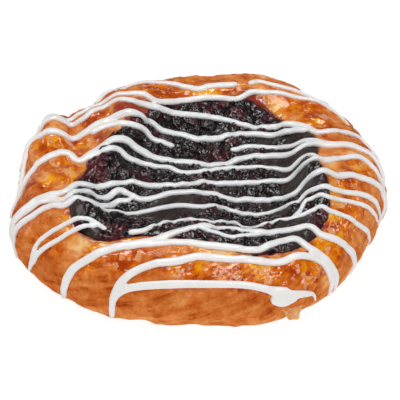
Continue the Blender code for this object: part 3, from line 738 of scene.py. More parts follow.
# %% The filling
FILLING_SIDE = 290
EDGE_RAGGED = 1.5 * MM
EDGE_SHIFTS = (             # place, reach and how far the edge moves out, in mm
    (-30, 15, 6, 2.0), (-33, 7, 5, 1.5), (-34.5, 2.5, 4, 2.2), (-39, -6.5, 3.5, -1.5),
)
EDGE_OVER = 1.2 * MM        # the mesh runs on this far past the edge
EDGE_DIVE = 1.4 * MM        # and sinks this far there
SKIRT_DEPTH = 2.5 * MM
FILLING_DEPTH = 5 * MM
UNDER_RINGS = np.array([1, 0.8, 0.55, 0.3, 0])      # parts of the edge's distance
RED_EDGE = 0.5              # thin juice along the edge is redder
RED_SPOTS = (
    (-36, 0, 3.5, 1.4), (-34, -5, 4, 1.3), (-36, 6, 3, 0.8), (6, 14, 4, 0.8), (16, -32, 3, 0.9),
    (-22, 21, 4, 0.6), (-16, 26, 4, 0.5), (12, 36, 4, 0.7), (-9, -40, 4, 0.8), (-25, -38, 4, 0.6),
    (36, -29, 3, 0.2), (-20, 0, 4, 0.3), (24, 32, 4, 0.5), (2, -34, 3, 0.4), (-14, -30, 3, 0.4),
)


def make_filling():
    """A disc lifted by the relief, a skirt at its edge, and rings under it down to a pole."""
    share, angle = disc_grid(FILLING_SIDE)
    ring = polar(1, angle, 0 * angle) * 30 * MM
    edge = compass(FILLING_EDGE, angle)
    edge += MM * patches(edge * np.cos(angle), edge * np.sin(angle), EDGE_SHIFTS)
    edge += EDGE_RAGGED * layered_noise(ring, 3 * MM, 171)
    distance = share * (edge + EDGE_OVER)
    x, y = distance * np.cos(angle), distance * np.sin(angle)
    inside = (edge - distance) / MM
    lift = filling_height(x, y) * blend(-0.4, 3, inside)
    lift -= EDGE_DIVE * (1 - blend(-1.3, 0.6, inside))
    top = (skin(x, y) + skin_normal(x, y) * lift[..., None]).reshape(-1, 3)
    plan = np.stack([x.ravel(), y.ravel()], -1)
    quads, border = square_faces(FILLING_SIDE)
    under = plan[border] * UNDER_RINGS[:, None, None]
    below = skin(under[..., 0], under[..., 1]) - (0, 0, FILLING_DEPTH)
    below[0] = top[border] - (0, 0, SKIRT_DEPTH)
    rings, start, round_it = len(UNDER_RINGS) - 1, len(top), len(border)
    low = np.arange(round_it) + start
    faces = [quads, band(border, low), wrapped_grid(rings, round_it, start),
             fan(low + (rings - 1) * round_it, start + rings * round_it)]
    points = np.concatenate([top, below[:-1].reshape(-1, 3), below[-1, :1]])
    plan = np.concatenate([plan, under[:-1].reshape(-1, 2), [[0, 0]]])
    red = patches(*plan.T, RED_SPOTS)
    red[:start] += RED_EDGE * np.exp(-np.clip(inside, 0, None) / 1.5).ravel()
    _, crease, berry = filling_relief(*plan.T)
    values = {"film": film(*plan.T), "red": red, "crease": crease, "berry": berry}
    return mesh_object("blueberry_filling", points, faces, values)


filling = make_filling()

# %% [markdown]
# The icing was drawn from side to side in long passes. Each pass is a rounded bead carried along
# a route: its points are places in the plan, so the bead rides over the crust and the berries and
# hangs down the side. It is thinner over the filling, swells and narrows a little as it is
# poured, ends round on top and narrows to a tip where it runs off the edge.

# %% Routes of the icing
ICING_HEIGHT = 0.33         # part of the width
ICING_SLIM = 0.92           # the beads are a little slimmer than in the solids
ICING_RIGHT = 0.92          # and slimmer still on the right
ICING_UNDER = 6.5 * MM      # a tail ends at most this far under the belly
ICING_ON_FILLING = 0.9      # it is drawn thinner over the filling

# Each pass: its width, then its route in the unrolled plan, all in mm.
PASSES = (
    (2.6, (-36, 37), (-32.5, 39.5), (-28.5, 42), (-24, 45.5), (-20, 46.5), (-15.5, 46), (-10, 45),
     (-5, 43.5), (-1, 43), (5, 44.5), (13, 45.5)),
    (2.6, (16.5, 46), (20, 48), (24, 46.5), (29, 45), (36.5, 43.5), (44, 40)),
    (2.5, (-56, 25.5), (-52, 28), (-47, 26.5), (-43, 28.5), (-38.5, 30.5), (-36, 33), (-31, 35),
     (-25, 35), (-19, 34.5), (-15, 34), (-11, 35.5), (-5, 38), (4, 40), (12, 40.5), (18, 42.5),
     (25, 41.5), (32, 40), (39, 38.5), (46, 36), (52, 32)),
    (2.8, (-66, 14), (-62, 18.5), (-57, 22.5), (-51, 25), (-45, 25), (-39, 25.5), (-35, 28.5),
     (-30, 31), (-24, 30.5), (-17, 31.5), (-8, 32.5), (3, 33), (9, 32), (15, 29.6), (23, 28.2),
     (28, 27.2), (32.5, 25.4), (36.4, 22.2), (39, 18.8), (43.2, 18.7), (49.2, 21), (54.5, 22),
     (59, 18.5), (64, 12)),
    (3.1, (-68, -12), (-65, -3), (-62, 5), (-60, 12), (-56, 17.5), (-50, 17), (-44, 16.5),
     (-38.5, 18), (-35, 20), (-32, 22), (-28.5, 23), (-25, 23), (-20, 23.4), (-17, 25), (-12, 23.5),
     (-6, 23), (0, 21), (6, 22), (13.8, 25.2), (21.7, 25), (28, 23.8), (32.5, 22.6), (36, 21)),
    (2.8, (-36.6, 16.8), (-34.6, 17.8), (-31.6, 19), (-29, 19.8), (-25, 19.5), (-21.7, 19.6),
     (-19, 19.6), (-16.7, 18.3), (-13.4, 17.2), (-8.6, 16.6)),
    (2.7, (10, 17.5), (18, 18.5), (26, 17.5), (31, 15.5), (35, 15.5), (38, 14), (42, 11.2),
     (46, 11)),
    (3.5, (-69, -11), (-63, -5.5), (-57, 0), (-52, 2.5), (-47, 4.5), (-43, 4.5), (-39.5, 2),
     (-36, 4), (-31, 9), (-25, 11.2), (-20, 9.8), (-14, 8.5), (-4, 8), (5, 8.5), (11, 10.5),
     (17, 13), (25, 12.5), (31, 10.5), (35, 12.5), (38.5, 12), (42.5, 10), (48.6, 11.4), (53, 11),
     (57.5, 10.3), (62.5, 7), (66, 2)),
    (2.7, (-37, 2), (-34, 4.2), (-31, 5.2), (-27, 6.6), (-24, 5), (-18, 4.5), (-11, 3), (-5, 1),
     (2, 2.5), (11, 4.5), (20, 5), (26, 3.5), (30, 2), (34, 3), (38, 1), (42.5, 1), (46.3, 3),
     (52, 4.8), (56, 4.4), (60, 2.3), (65, 0.3), (67.5, -4)),
    (2.8, (-69.3, -29), (-67.8, -25), (-64.3, -20.5), (-60.5, -18.5), (-57, -18.5), (-50, -17.5),
     (-43, -17), (-40, -12.5), (-36, -11), (-28, -7), (-21, -5.5), (-15, -7.5), (-5, -8), (1, -5),
     (8, -4.5), (20, -3.5), (28, -3), (32, -2), (36, -3), (40, -1.7), (43.5, 1), (46, 2.5)),
    (3.0, (-69.3, -30), (-68, -26.5), (-65, -22.5), (-61, -20.5), (-55, -20), (-49, -19.5),
     (-43, -21.5), (-40, -19), (-37, -16), (-31, -14), (-27.5, -10.5), (-25, -10), (-21, -13),
     (-17, -14), (-10, -12.5), (-3, -13), (4, -12), (8, -13), (16, -12.5), (25, -12.5), (30, -13.5),
     (34, -11), (38, -11), (43, -9), (48.8, -6), (54, -5), (59, -4), (63, -4.4), (66, -7),
     (67.2, -10.5), (67.2, -13.8)),
    (2.9, (-69.3, -29.5), (-67.8, -27), (-64, -25), (-60, -24), (-52, -23.5), (-47, -23.5),
     (-42.5, -25.5), (-38.5, -24), (-33.5, -23), (-30, -20), (-27, -15.5), (-22, -14.5)),
    (2.5, (-41, -24), (-36.5, -24.5), (-31, -24.5), (-27, -22.5), (-21, -21), (-14, -19),
     (-8, -19.5), (-1, -21.5), (4, -20), (8, -18.5), (12, -19.5), (20, -19.5), (25, -18.5),
     (31, -19.5), (34, -17), (38, -17), (41.5, -16.4), (45.4, -14.2), (51.6, -12.6), (56.2, -11.7),
     (61, -11.2), (65, -11.4), (67, -13)),
    (2.2, (-22.5, -38.5), (-17, -37), (-12, -31.5), (-7, -28.5), (1, -30), (7, -29.5), (11, -27),
     (16, -31), (20, -31), (25, -29), (30, -28), (34, -26), (38, -24), (41.3, -24.5), (47.5, -23.5),
     (52, -23.4), (57, -22.5), (62.5, -21.8), (67, -21.8)),
    (2.1, (29, -29), (31.5, -25.5), (34.5, -21), (38, -19.5), (41, -20), (45, -18), (51, -16.3),
     (57, -15.6), (63, -14.8), (66.8, -14)),
    (1.9, (-64.5, -38), (-61, -37.6), (-56.5, -36.3), (-52, -33.6), (-46.6, -32.5), (-41.5, -32.2),
     (-38.4, -31.8), (-35.3, -32.2), (-32.1, -33.9), (-29.2, -36.8)),
    (1.9, (-63.5, -38.2), (-58, -38.2), (-51.5, -36.8), (-44.5, -35.8), (-40.5, -35.2),
     (-37.9, -34.8), (-35.2, -34.3), (-32.4, -34.8)),
    (3.2, (-60, -54), (-55, -52.5), (-49, -51), (-41, -46.5), (-34, -44.5), (-28, -43), (-18, -42),
     (-11, -40), (-7, -38), (2, -36.5), (8, -35), (14, -36.5), (20, -37.5), (28, -34.5), (34, -32),
     (38, -34), (45, -34), (50, -33.9), (54, -34.8), (59, -37), (63, -41)),
    (2.9, (-24, -43), (-14, -42.5), (-4, -43), (5, -44), (14, -45), (18, -44.5), (22, -42),
     (27, -39), (30, -38), (34, -39.8), (39.5, -41.2), (44, -43.2), (49.5, -46.6), (53.5, -50)),
    (2.1, (-3, -36.5), (3, -38.5), (9, -40.5), (15, -39.5), (21, -37.5)),
    (2.9, (-37, -66), (-33, -63), (-30, -58.5), (-25.5, -54), (-20, -51), (-14, -49.5), (-7, -49),
     (0, -47.5), (8, -48), (18, -48), (25, -47), (30, -44), (36, -42.5), (40, -43), (43, -45),
     (47, -48), (50.5, -51), (53, -54)),
    (2.9, (-32, -61.5), (-29, -58.5), (-25, -56.5), (-20, -56), (-8, -56), (4, -56), (14, -56),
     (21, -56.5), (25, -57), (29, -57.5), (34, -56), (39, -55), (42, -55), (43.8, -56)),
    (2.7, (24, -59.8), (27, -59.6), (30, -58.8), (33.5, -57.4)),
)
ROUND_ENDED = len(PASSES) - 1           # this pass ends round on the side
POOL = (28 * MM, -58.4 * MM)            # here the icing ran together and is wider
POOL_EXTRA = 2.8 * MM
POOL_REACH = 3.5 * MM
print(len(PASSES), "passes of icing")

# %% [markdown]
# A bead is a profile carried along a path. The path is a smooth curve through the route's points,
# cut at even steps. What carries the bead is the filling inside its edge and the crust beyond it,
# and the bead bridges their small dips.

# %% Paths of the icing
BEAD_STEP = 0.5 * MM


def route_points(corners):
    """Even points of a smooth curve through the corners, down to where its tails end, and their
    distances along it."""
    corners = np.array(corners) * MM
    ends = (2 * corners[0] - corners[1], 2 * corners[-1] - corners[-2])
    q = np.vstack([ends[0], corners, ends[1]])
    t = np.linspace(0, 1, 12, endpoint=False)[:, None]
    pieces = [between(*four, t) for four in zip(q[:-3], q[1:-2], q[2:-1], q[3:])]
    fine = np.vstack(pieces + [corners[-1:]])
    reach = crest_radius(*fine.T) + SHOULDER_LENGTH + ICING_UNDER
    fine = fine[np.linalg.norm(fine, axis=1) < reach]
    run = np.concatenate([[0], np.cumsum(np.linalg.norm(np.diff(fine, axis=0), axis=1))])
    even = np.linspace(0, run[-1], int(round(run[-1] / BEAD_STEP)) + 1)
    return np.stack([np.interp(even, run, line) for line in fine.T], -1), even


def rests_at(x, y):
    """Height over the skin on which icing rests: the filling inside its edge, else the crust."""
    on_filling = blend(-1, 2, -past_edge(x, y))
    low = blend(0, 1, skin(x, y)[..., 2] / BELLY_HEIGHT)
    return filling_height(x, y) * on_filling + crust_height(x, y) * low * (1 - on_filling)


def averaged(values, reach):
    """Mean over a window of that many steps to each side, with the ends repeated."""
    padded = np.pad(values, reach, mode="edge")
    return np.convolve(padded, np.ones(2 * reach + 1) / (2 * reach + 1), mode="valid")


print("the longest pass is", round(1000 * max(route_points(row[1:])[1][-1] for row in PASSES)),
      "mm long")

# %% [markdown]
# At each step of the path the skin gives the place and the direction that points out of it. The
# profile there is half an ellipse whose feet are sunk in what carries it. The rest of the work is
# its width, which changes along the way and narrows at the ends.

# %% Beads of icing
BEAD_SIDES = 12             # points over the top of the profile
BEAD_SUNK = 0.9 * MM
BEAD_FEET = (-0.36, 0, 0.36)    # places of the sunk feet, in widths
BEAD_FULL = 0.75            # below 1 makes the profile fuller than half an ellipse
REST_ACROSS = 0.35          # a bead rests on what lies this many widths to each side
TIP_LENGTH = 9 * MM         # a tail narrows over this length
TIP_WIDTHS = (0.5, 0.22)    # part of the width left at a tail's tip, on the left and the right
ON_SIDE = 0.6               # an end this part of the way down to the belly is a tail
ROUND_END = 0.6             # a round end narrows over this many widths
BEAD_UNEVEN = 0.13          # how much a bead swells and narrows
EDGE_FADE = 5               # mm inside the filling's edge over which a bead gets thinner


def bead_width(number, plan, run, width):
    """Width along a bead: thinner over the filling, wider at the pool, uneven, drawn in at ends."""
    inside = np.clip(-past_edge(*plan.T) / EDGE_FADE, 0, 1)
    wide = width * (1 - (1 - ICING_ON_FILLING) * inside)
    wide *= 1 - (1 - ICING_RIGHT) * blend(-10, 25, plan[:, 0] / MM)
    pool = np.hypot(plan[:, 0] - POOL[0], plan[:, 1] - POOL[1])
    wide = wide + POOL_EXTRA * np.exp(-((pool / POOL_REACH) ** 2))
    place = flat(run, 0 * run)
    wide = wide * (1 + BEAD_UNEVEN * layered_noise(place, 7 * MM, 200 + number))
    for to_end, tip in ((run, plan[0]), (run[-1] - run, plan[-1])):
        down = np.hypot(*tip) > crest_radius(*tip) + ON_SIDE * SHOULDER_LENGTH
        if down and number != ROUND_ENDED:
            left = TIP_WIDTHS[0 if tip[0] < 0 else 1]
            wide *= left + (1 - left) * np.clip(to_end / TIP_LENGTH, 0, 1) ** 0.7
        else:
            part = np.clip(to_end / (ROUND_END * width), 0, 1)
            wide *= np.sqrt(np.clip(1 - (1 - part) ** 2, 0.02, 1))
    return wide


def make_bead(number, width, corners):
    """Points and faces of a closed bead: rings of half an ellipse with sunk feet, and two poles."""
    width = width * ICING_SLIM * MM
    plan, run = route_points(corners)
    x, y = plan.T
    centre, up = skin(x, y), skin_normal(x, y)
    side = unit(np.cross(np.gradient(centre, axis=0), up))
    offset = np.linspace(-REST_ACROSS, REST_ACROSS, 5) * width
    out = unit(np.stack([-np.gradient(y), np.gradient(x)], -1))
    beside = rests_at(x[:, None] + out[:, :1] * offset, y[:, None] + out[:, 1:] * offset)
    rest = averaged(beside.mean(1) * 0.5 + beside.max(1) * 0.5, 2)
    wide = bead_width(number, plan, run, width)[:, None]
    high = ICING_HEIGHT * (width * wide) ** 0.5
    centre = centre + up * rest[:, None]
    section = [centre + side * wide / 2 * np.cos(turn) + up * high * np.sin(turn) ** BEAD_FULL
               for turn in np.linspace(0, np.pi, BEAD_SIDES)]
    section += [centre + side * wide * share - up * BEAD_SUNK for share in BEAD_FEET]
    rings = np.stack(section, 1)
    poles = rings[[0, -1]].mean(1)
    return np.concatenate([rings.reshape(-1, 3), poles]), closed_rings(*rings.shape[:2])


last_bead, _ = make_bead(ROUND_ENDED, PASSES[-1][0], PASSES[-1][1:])
print("the last pass has", len(last_bead), "points")

# %% [markdown]
# Where wet passes touch they run together. To get that, the closed beads are put into one mesh
# and wrapped in a new skin by Remesh in its voxel mode, which keeps only their common outside.
# A few rounds of Smooth then round the valleys between them. The passes go into three pieces,
# so that each stays a light mesh.

# %% Join the icing
ICING_VOXEL = 0.33 * MM
ICING_SMOOTHING = 5
ICING_PIECES = {"icing_back": range(0, 9), "icing_middle": range(9, 15),
                "icing_front": range(15, len(PASSES))}


def make_icing(name, numbers):
    """Beads joined by a voxel skin, with its valleys rounded."""
    points, faces, start = [], [], 0
    for number in numbers:
        width, *corners = PASSES[number]
        bead, blocks = make_bead(number, width, corners)
        points.append(bead)
        faces += [block + start for block in blocks]
        start += len(bead)
    made = mesh_object(name, np.concatenate(points), faces)
    skin_over = made.modifiers.new("join", "REMESH")
    skin_over.mode = "VOXEL"
    skin_over.voxel_size = ICING_VOXEL
    round_off = made.modifiers.new("round", "SMOOTH")
    round_off.factor = 0.5
    round_off.iterations = ICING_SMOOTHING
    graph = bpy.context.evaluated_depsgraph_get()
    made.data = bpy.data.meshes.new_from_object(made.evaluated_get(graph))
    made.modifiers.clear()
    made.data.shade_smooth()
    points = np.zeros(3 * len(made.data.vertices), np.float32)
    made.data.vertices.foreach_get("co", points)
    inside = -past_edge(*points.reshape(-1, 3)[:, :2].T)
    cool = made.data.attributes.new("over_filling", "FLOAT", "POINT")
    cool.data.foreach_set("value", blend(-1, 3, inside).astype(np.float32))
    print(name, "joined:", sum(len(face.vertices) - 2 for face in made.data.polygons), "triangles")
    return made


icing = [make_icing(name, numbers) for name, numbers in ICING_PIECES.items()]

# %% [markdown]
# One loose flake of crust sticks out at the foot on the right. It is a small sheet of baked
# dough: a grid whose edge is ragged, bent a little, with a second layer under it for thickness.

# %% The loose flake
FLAKE_ANGLE = np.radians(299)
FLAKE_SIZE = (6.4 * MM, 5.6 * MM)
FLAKE_THICK = 0.7 * MM
FLAKE_RADIUS = 59.6 * MM
FLAKE_HEIGHT = 5.8 * MM
FLAKE_DROOP = 0.8
FLAKE_CURL = (60, 40)       # how strongly its sides bend up and its ends down
FLAKE_RAGGED = 0.18
FLAKE_SIDE = 28
FLAKE_LOOK = {"bake": 0.15, "stain": 0.0, "glaze": 0.1, "side": 0.0}


def make_flake():
    """Two sheets of a square bent into a disc, pushed in and out at the edge and curled."""
    share, turn = disc_grid(FLAKE_SIDE)
    share_out = share * (1 + FLAKE_RAGGED * soft_noise(polar(1, turn, 0 * turn), 0.55, 181))
    across = share_out * np.cos(turn) * FLAKE_SIZE[0] / 2
    along = share_out * np.sin(turn) * FLAKE_SIZE[1] / 2
    curl = FLAKE_CURL[0] * across**2 - FLAKE_CURL[1] * along**2
    cos, sin = np.cos(FLAKE_ANGLE), np.sin(FLAKE_ANGLE)
    reach = FLAKE_RADIUS + along
    top = np.stack([reach * cos - across * sin, reach * sin + across * cos,
                    FLAKE_HEIGHT - FLAKE_DROOP * along + curl], -1)
    top[..., 2] += 0.25 * MM * layered_noise(top, 1.6 * MM, 191)
    thick = FLAKE_THICK * np.sqrt(np.clip(1 - share**4, 0, 1))
    bottom = top - thick[..., None] * (0, 0, 1)
    points = np.concatenate([top.reshape(-1, 3), bottom.reshape(-1, 3)])
    points[:, 2] = np.clip(points[:, 2], 0.05 * MM, None)
    quads, border = square_faces(FLAKE_SIDE)
    start = FLAKE_SIDE**2
    values = {label: np.full(len(points), value) for label, value in FLAKE_LOOK.items()}
    return mesh_object("loose_flake", points,
                       [quads, quads[:, ::-1] + start, band(border, border + start)],
                       values | {"flow": points, "climb": points})


flake = make_flake()

# %% [markdown]
# All three finishes have a fine grain: pores in the crust, specks in the gel, small unevenness in
# the icing. It is one node group with a size and a strength, placed in each material with its own
# values. It gives a grey grain for colours and a bumped normal for the shader. Two helpers make
# the nodes here and in every material: each input is either linked or set to a plain value.

# %% Grain shared by the materials
def set_inputs(tree, node, values):
    """Links each input to the output that is given for it, or sets it to the plain value."""
    for label, value in values.items():
        if isinstance(value, bpy.types.NodeSocket):
            tree.links.new(value, node.inputs[label])
        else:
            node.inputs[label].default_value = value


def add_node(tree, kind, inputs, **settings):
    """A node of that kind with its settings, and with its inputs linked or set."""
    node = tree.nodes.new("ShaderNode" + kind)
    for label, value in settings.items():
        setattr(node, label, value)
    set_inputs(tree, node, inputs)
    return node


def grain_group():
    """Noise, and a bump as deep as Depth made from it."""
    group = bpy.data.node_groups.new("food_grain", "ShaderNodeTree")
    for label, way, kind in (("Vector", "INPUT", "Vector"), ("Scale", "INPUT", "Float"),
                             ("Detail", "INPUT", "Float"), ("Depth", "INPUT", "Float"),
                             ("Grain", "OUTPUT", "Float"), ("Normal", "OUTPUT", "Vector")):
        group.interface.new_socket(label, in_out=way, socket_type="NodeSocket" + kind)
    given = group.nodes.new("NodeGroupInput").outputs
    read = {label: given[label] for label in ("Vector", "Scale", "Detail")}
    noise = add_node(group, "TexNoise", read)
    bump = add_node(group, "Bump", {"Height": noise.outputs["Fac"], "Distance": given["Depth"]})
    set_inputs(group, group.nodes.new("NodeGroupOutput"),
               {"Grain": noise.outputs["Fac"], "Normal": bump.outputs["Normal"]})
    return group


grain = grain_group()
print("sockets of the grain:", [item.name for item in grain.interface.items_tree])

# %% [markdown]
# A few short helpers keep the materials readable. One reads an attribute, some do sums and mix
# two colours, and one adds the grain. Noise runs from 0 to 1, so before it is added to a value it
# is centred, to make as many places darker as lighter.

# %% Material helpers
def start_material(name):
    """A new material, its nodes and its shader."""
    made = bpy.data.materials.new(name)
    made.use_nodes = True
    return made, made.node_tree, made.node_tree.nodes["Principled BSDF"]


def read_value(tree, label, output="Fac"):
    """A named value that the mesh holds at each point."""
    return add_node(tree, "Attribute", {}, attribute_name=label).outputs[output]


def maths(tree, operation, first, second):
    """A sum of two values, each an output or a plain number."""
    return add_node(tree, "Math", {0: first, 1: second}, operation=operation).outputs[0]


def plus(tree, value, pattern, strength):
    """The value plus strength times the pattern."""
    return maths(tree, "ADD", value, maths(tree, "MULTIPLY", pattern, strength))


def centred(tree, pattern):
    """The pattern less a half, so that it runs from -0.5 to 0.5."""
    return maths(tree, "SUBTRACT", pattern, 0.5)


def stepped(tree, value, low, high, start=0.0, end=1.0):
    """A soft step from start to end as the value goes from low to high."""
    inputs = {"Value": value, "From Min": low, "From Max": high, "To Min": start, "To Max": end}
    return add_node(tree, "MapRange", inputs, interpolation_type="SMOOTHSTEP").outputs["Result"]


def mixed(tree, factor, first, second, way="MIX"):
    """(1 - factor) * first + factor * second; with MULTIPLY, the second is first * second."""
    inputs = {"Factor": factor, "A": first, "B": second}
    return add_node(tree, "Mix", inputs, data_type="RGBA", blend_type=way).outputs["Result"]


def add_grain(tree, vector, scale, detail, depth=0.0):
    """The shared grain with values of its own: its grey pattern and its bumped normal."""
    inputs = {"Vector": vector, "Scale": scale, "Detail": detail, "Depth": depth}
    made = add_node(tree, "Group", inputs, node_tree=grain).outputs
    return made["Grain"], made["Normal"]


def object_place(tree):
    """Each point's place on the danish, in metres."""
    return add_node(tree, "TexCoord", {}).outputs["Object"]


# %% [markdown]
# Laminated dough shows its layers in the colour too. Thin dark lines part them, and their
# darkness is painted shade in these fine grooves. The outermost layer has dried into papery
# flakes of slightly different tones. A few pale ones in the glaze are painted highlights, where
# the glaze catches the light. Voronoi cells give both, the lines from their borders and the tones
# from their insides.

# %% Layers and flakes in the colour
LINE_WIDTH = 0.09           # part of a layer
FLAKE_COUNT, HIGHLIGHT_FLAKE_COUNT = 560, 330     # in a metre
HIGHLIGHT_RAGGED = 1.4          # how strongly pores break up the edges of the painted highlight flakes


def layer_lines(tree, vector, scale):
    """Thin lines between long cells, where layers of dough part: 1 on a line and 0 beside it."""
    inputs = {"Vector": vector, "Scale": scale}
    node = add_node(tree, "TexVoronoi", inputs, feature="DISTANCE_TO_EDGE")
    return stepped(tree, node.outputs["Distance"], 0, LINE_WIDTH, 1, 0)


def flake_tones(tree, vector, scale, smoothness=0.35):
    """A tone for each long cell, from -0.5 to 0.5: papery flakes of the outermost layer."""
    inputs = {"Vector": vector, "Scale": scale, "Smoothness": smoothness}
    node = add_node(tree, "TexVoronoi", inputs, feature="SMOOTH_F1")
    parts = add_node(tree, "SeparateColor", {"Color": node.outputs["Color"]})
    return centred(tree, parts.outputs["Red"])


def glaze_highlight_flakes(tree, place, pores, glaze):
    """Painted highlight in the glaze, from 0 to 0.8: pale flake-shaped cells with ragged edges."""
    ragged = maths(tree, "MULTIPLY", centred(tree, pores), HIGHLIGHT_RAGGED)
    highlight = maths(tree, "ADD", flake_tones(tree, place, HIGHLIGHT_FLAKE_COUNT, 0.15), ragged)
    highlight = stepped(tree, highlight, 0.22, 0.34, 0.0, 0.8)
    return maths(tree, "MULTIPLY", highlight, stepped(tree, glaze, 0.5, 0.75))


# %% [markdown]
# Dough turns from pale through gold to brown as it bakes, so the crust's colour is a ramp, and
# the bake attribute is a place on it. Three more colours go over it: the clear orange of pooled
# glaze, a painted highlight in pale flakes where the glaze catches the light, and the dark red of
# juice.

# %% Colours of the crust
CRUST_RAMP = (
    (0.0, (0.92, 0.59, 0.31)),
    (0.25, (0.84, 0.40, 0.145)),
    (0.5, (0.72, 0.232, 0.057)),
    (0.75, (0.585, 0.136, 0.019)),
    (1.0, (0.42, 0.062, 0.003)),
)
GLAZED_TINT = (1.0, 0.69, 0.01, 1)
GLAZE_HIGHLIGHT_COLOUR = (0.84, 0.40, 0.19, 1)    # painted highlight: pale flakes where the glaze catches the light
JUICE = (0.32, 0.038, 0.026, 1)


def ramp_colour(tree, value, stops):
    """A colour for the value, from a list of places on a ramp and their colours."""
    node = add_node(tree, "ValToRGB", {"Fac": value})
    elements = node.color_ramp.elements
    while len(elements) < len(stops):
        elements.new(0.5)
    for element, (position, colour) in zip(elements, stops):
        element.position = position
        element.color = (*colour, 1)
    return node.outputs["Color"]


print(len(CRUST_RAMP), "colours from pale dough to brown")

# %% [markdown]
# Patterns move the bake up and down the ramp: streaks, blotches, pores and the tones of papery
# flakes. On top the streaks follow the coil, and on the side they climb at a slant. Dark lines
# part the layers here and there, and their darkness is painted shade in these fine grooves. The
# glaze tints the colour where it pooled, and is itself a clear coat of uneven weight. A little
# subsurface light softens the dough.

# %% Crust material
GLAZE_ROUGHNESS = 0.07
CRUST_SHINE = 0.03          # the dry crust itself hardly shines
PORE_DEPTH = 0.2 * MM
# Painted shade: how much the grooves where layers part are darkened.
LINE_SHADE = 0.22
LINE_DEPTH = 0.25 * MM

# How many of each pattern there are in a metre.
STREAK_COUNT, FOLD_COUNT, BLOTCH_COUNT, PORE_COUNT = 260, 170, 180, 950
LINE_COUNTS = (170, 110)    # on top and on the side

# How much each pattern darkens or lightens the bake; pairs are for dry and for glazed crust.
STREAK_TONES, PORE_TONES = 0.5, 0.4
BLOTCH_TONES = (0.6, 2.0)
FLAKE_TONES = (0.16, 0.5)


def crust_material():
    """Bake plus centred patterns through the ramp, then glaze tint, painted highlight and juice."""
    made, tree, shader = start_material("baked_crust")
    place = object_place(tree)
    flow, climb = (read_value(tree, label, "Vector") for label in ("flow", "climb"))
    side, glaze, tone = (read_value(tree, label) for label in ("side", "glaze", "bake"))
    streak, _ = add_grain(tree, flow, STREAK_COUNT, 3)
    fold, _ = add_grain(tree, climb, FOLD_COUNT, 2)
    blotch, _ = add_grain(tree, place, BLOTCH_COUNT, 4)
    pores, normal = add_grain(tree, place, PORE_COUNT, 4, PORE_DEPTH)
    blotchy, flaky = (stepped(tree, glaze, 0.2, 0.8, *tones)
                      for tones in (BLOTCH_TONES, FLAKE_TONES))
    streaks = mixed(tree, side, streak, fold)
    for pattern, strength in ((streaks, STREAK_TONES), (blotch, blotchy), (pores, PORE_TONES)):
        tone = plus(tree, tone, centred(tree, pattern), strength)
    flakes = [flake_tones(tree, vector, FLAKE_COUNT) for vector in (flow, place)]
    tone = plus(tree, tone, mixed(tree, side, *flakes), flaky)
    lines = [layer_lines(tree, *given) for given in zip((flow, climb), LINE_COUNTS)]
    lines = maths(tree, "MULTIPLY", mixed(tree, side, *lines), stepped(tree, blotch, 0.5, 0.65))
    # Painted shade: the grooves where layers part are darkened.
    tone = plus(tree, tone, lines, LINE_SHADE)
    parted = add_node(tree, "Bump", {"Distance": LINE_DEPTH, "Height": lines, "Normal": normal},
                      invert=True)
    colour = ramp_colour(tree, tone, CRUST_RAMP)
    colour = mixed(tree, stepped(tree, glaze, 0.3, 0.65), colour, GLAZED_TINT, "MULTIPLY")
    # Painted highlight: pale flakes where the glaze catches the light.
    colour = mixed(tree, glaze_highlight_flakes(tree, place, pores, glaze), colour, GLAZE_HIGHLIGHT_COLOUR)
    soaked = maths(tree, "ADD", read_value(tree, "stain"), centred(tree, blotch))
    soaked = stepped(tree, soaked, 0.15, 1.0, 0.0, 0.9)
    set_inputs(tree, shader, {
        "Base Color": mixed(tree, soaked, colour, JUICE),
        "Roughness": stepped(tree, glaze, 0.1, 0.9, 0.65, 0.4),
        "Specular IOR Level": CRUST_SHINE,
        "Coat Weight": stepped(tree, glaze, 0.2, 0.75, 0.05, 1.0),
        "Coat Roughness": GLAZE_ROUGHNESS,
        "Subsurface Weight": 0.1,
        "Subsurface Scale": 2 * MM,
        "Subsurface Radius": (1.0, 0.4, 0.15),
        "Normal": parted.outputs["Normal"],
    })
    return made


baked = crust_material()
print(baked.name, "has", len(baked.node_tree.nodes), "nodes")

# %% [markdown]
# The filling is almost black. Its colour comes from purple and dark-red tints in the thin
# places, and its look from gloss: bare berries are wet and sharp, the film is duller and greyer,
# with dark specks in it. The film's grey is partly painted sheen, a lighter colour in place of
# the pale studio's reflection. The film attribute mixes the two.

# %% Filling material
BERRY_COLOUR = (0.009, 0.004, 0.005, 1)
BERRY_RED = (0.085, 0.008, 0.014, 1)
# The gel's own dark colour, made lighter as painted sheen of the pale studio.
FILM_AND_SHEEN_COLOUR = (0.062, 0.042, 0.037, 1)
RED_SHARE = 0.28            # how much the red spots redden it
BERRY_SHARE = 0.16          # how much berries differ from each other
TINT_COUNT, SPECK_COUNT = 320, 1900     # in a metre
SPECK_DEPTH = 0.16 * MM
BERRY_COAT = 0.85           # gel over the berries, less of it in the creases between them
FILM_WET = 0.2              # part of that shine on the thick gel


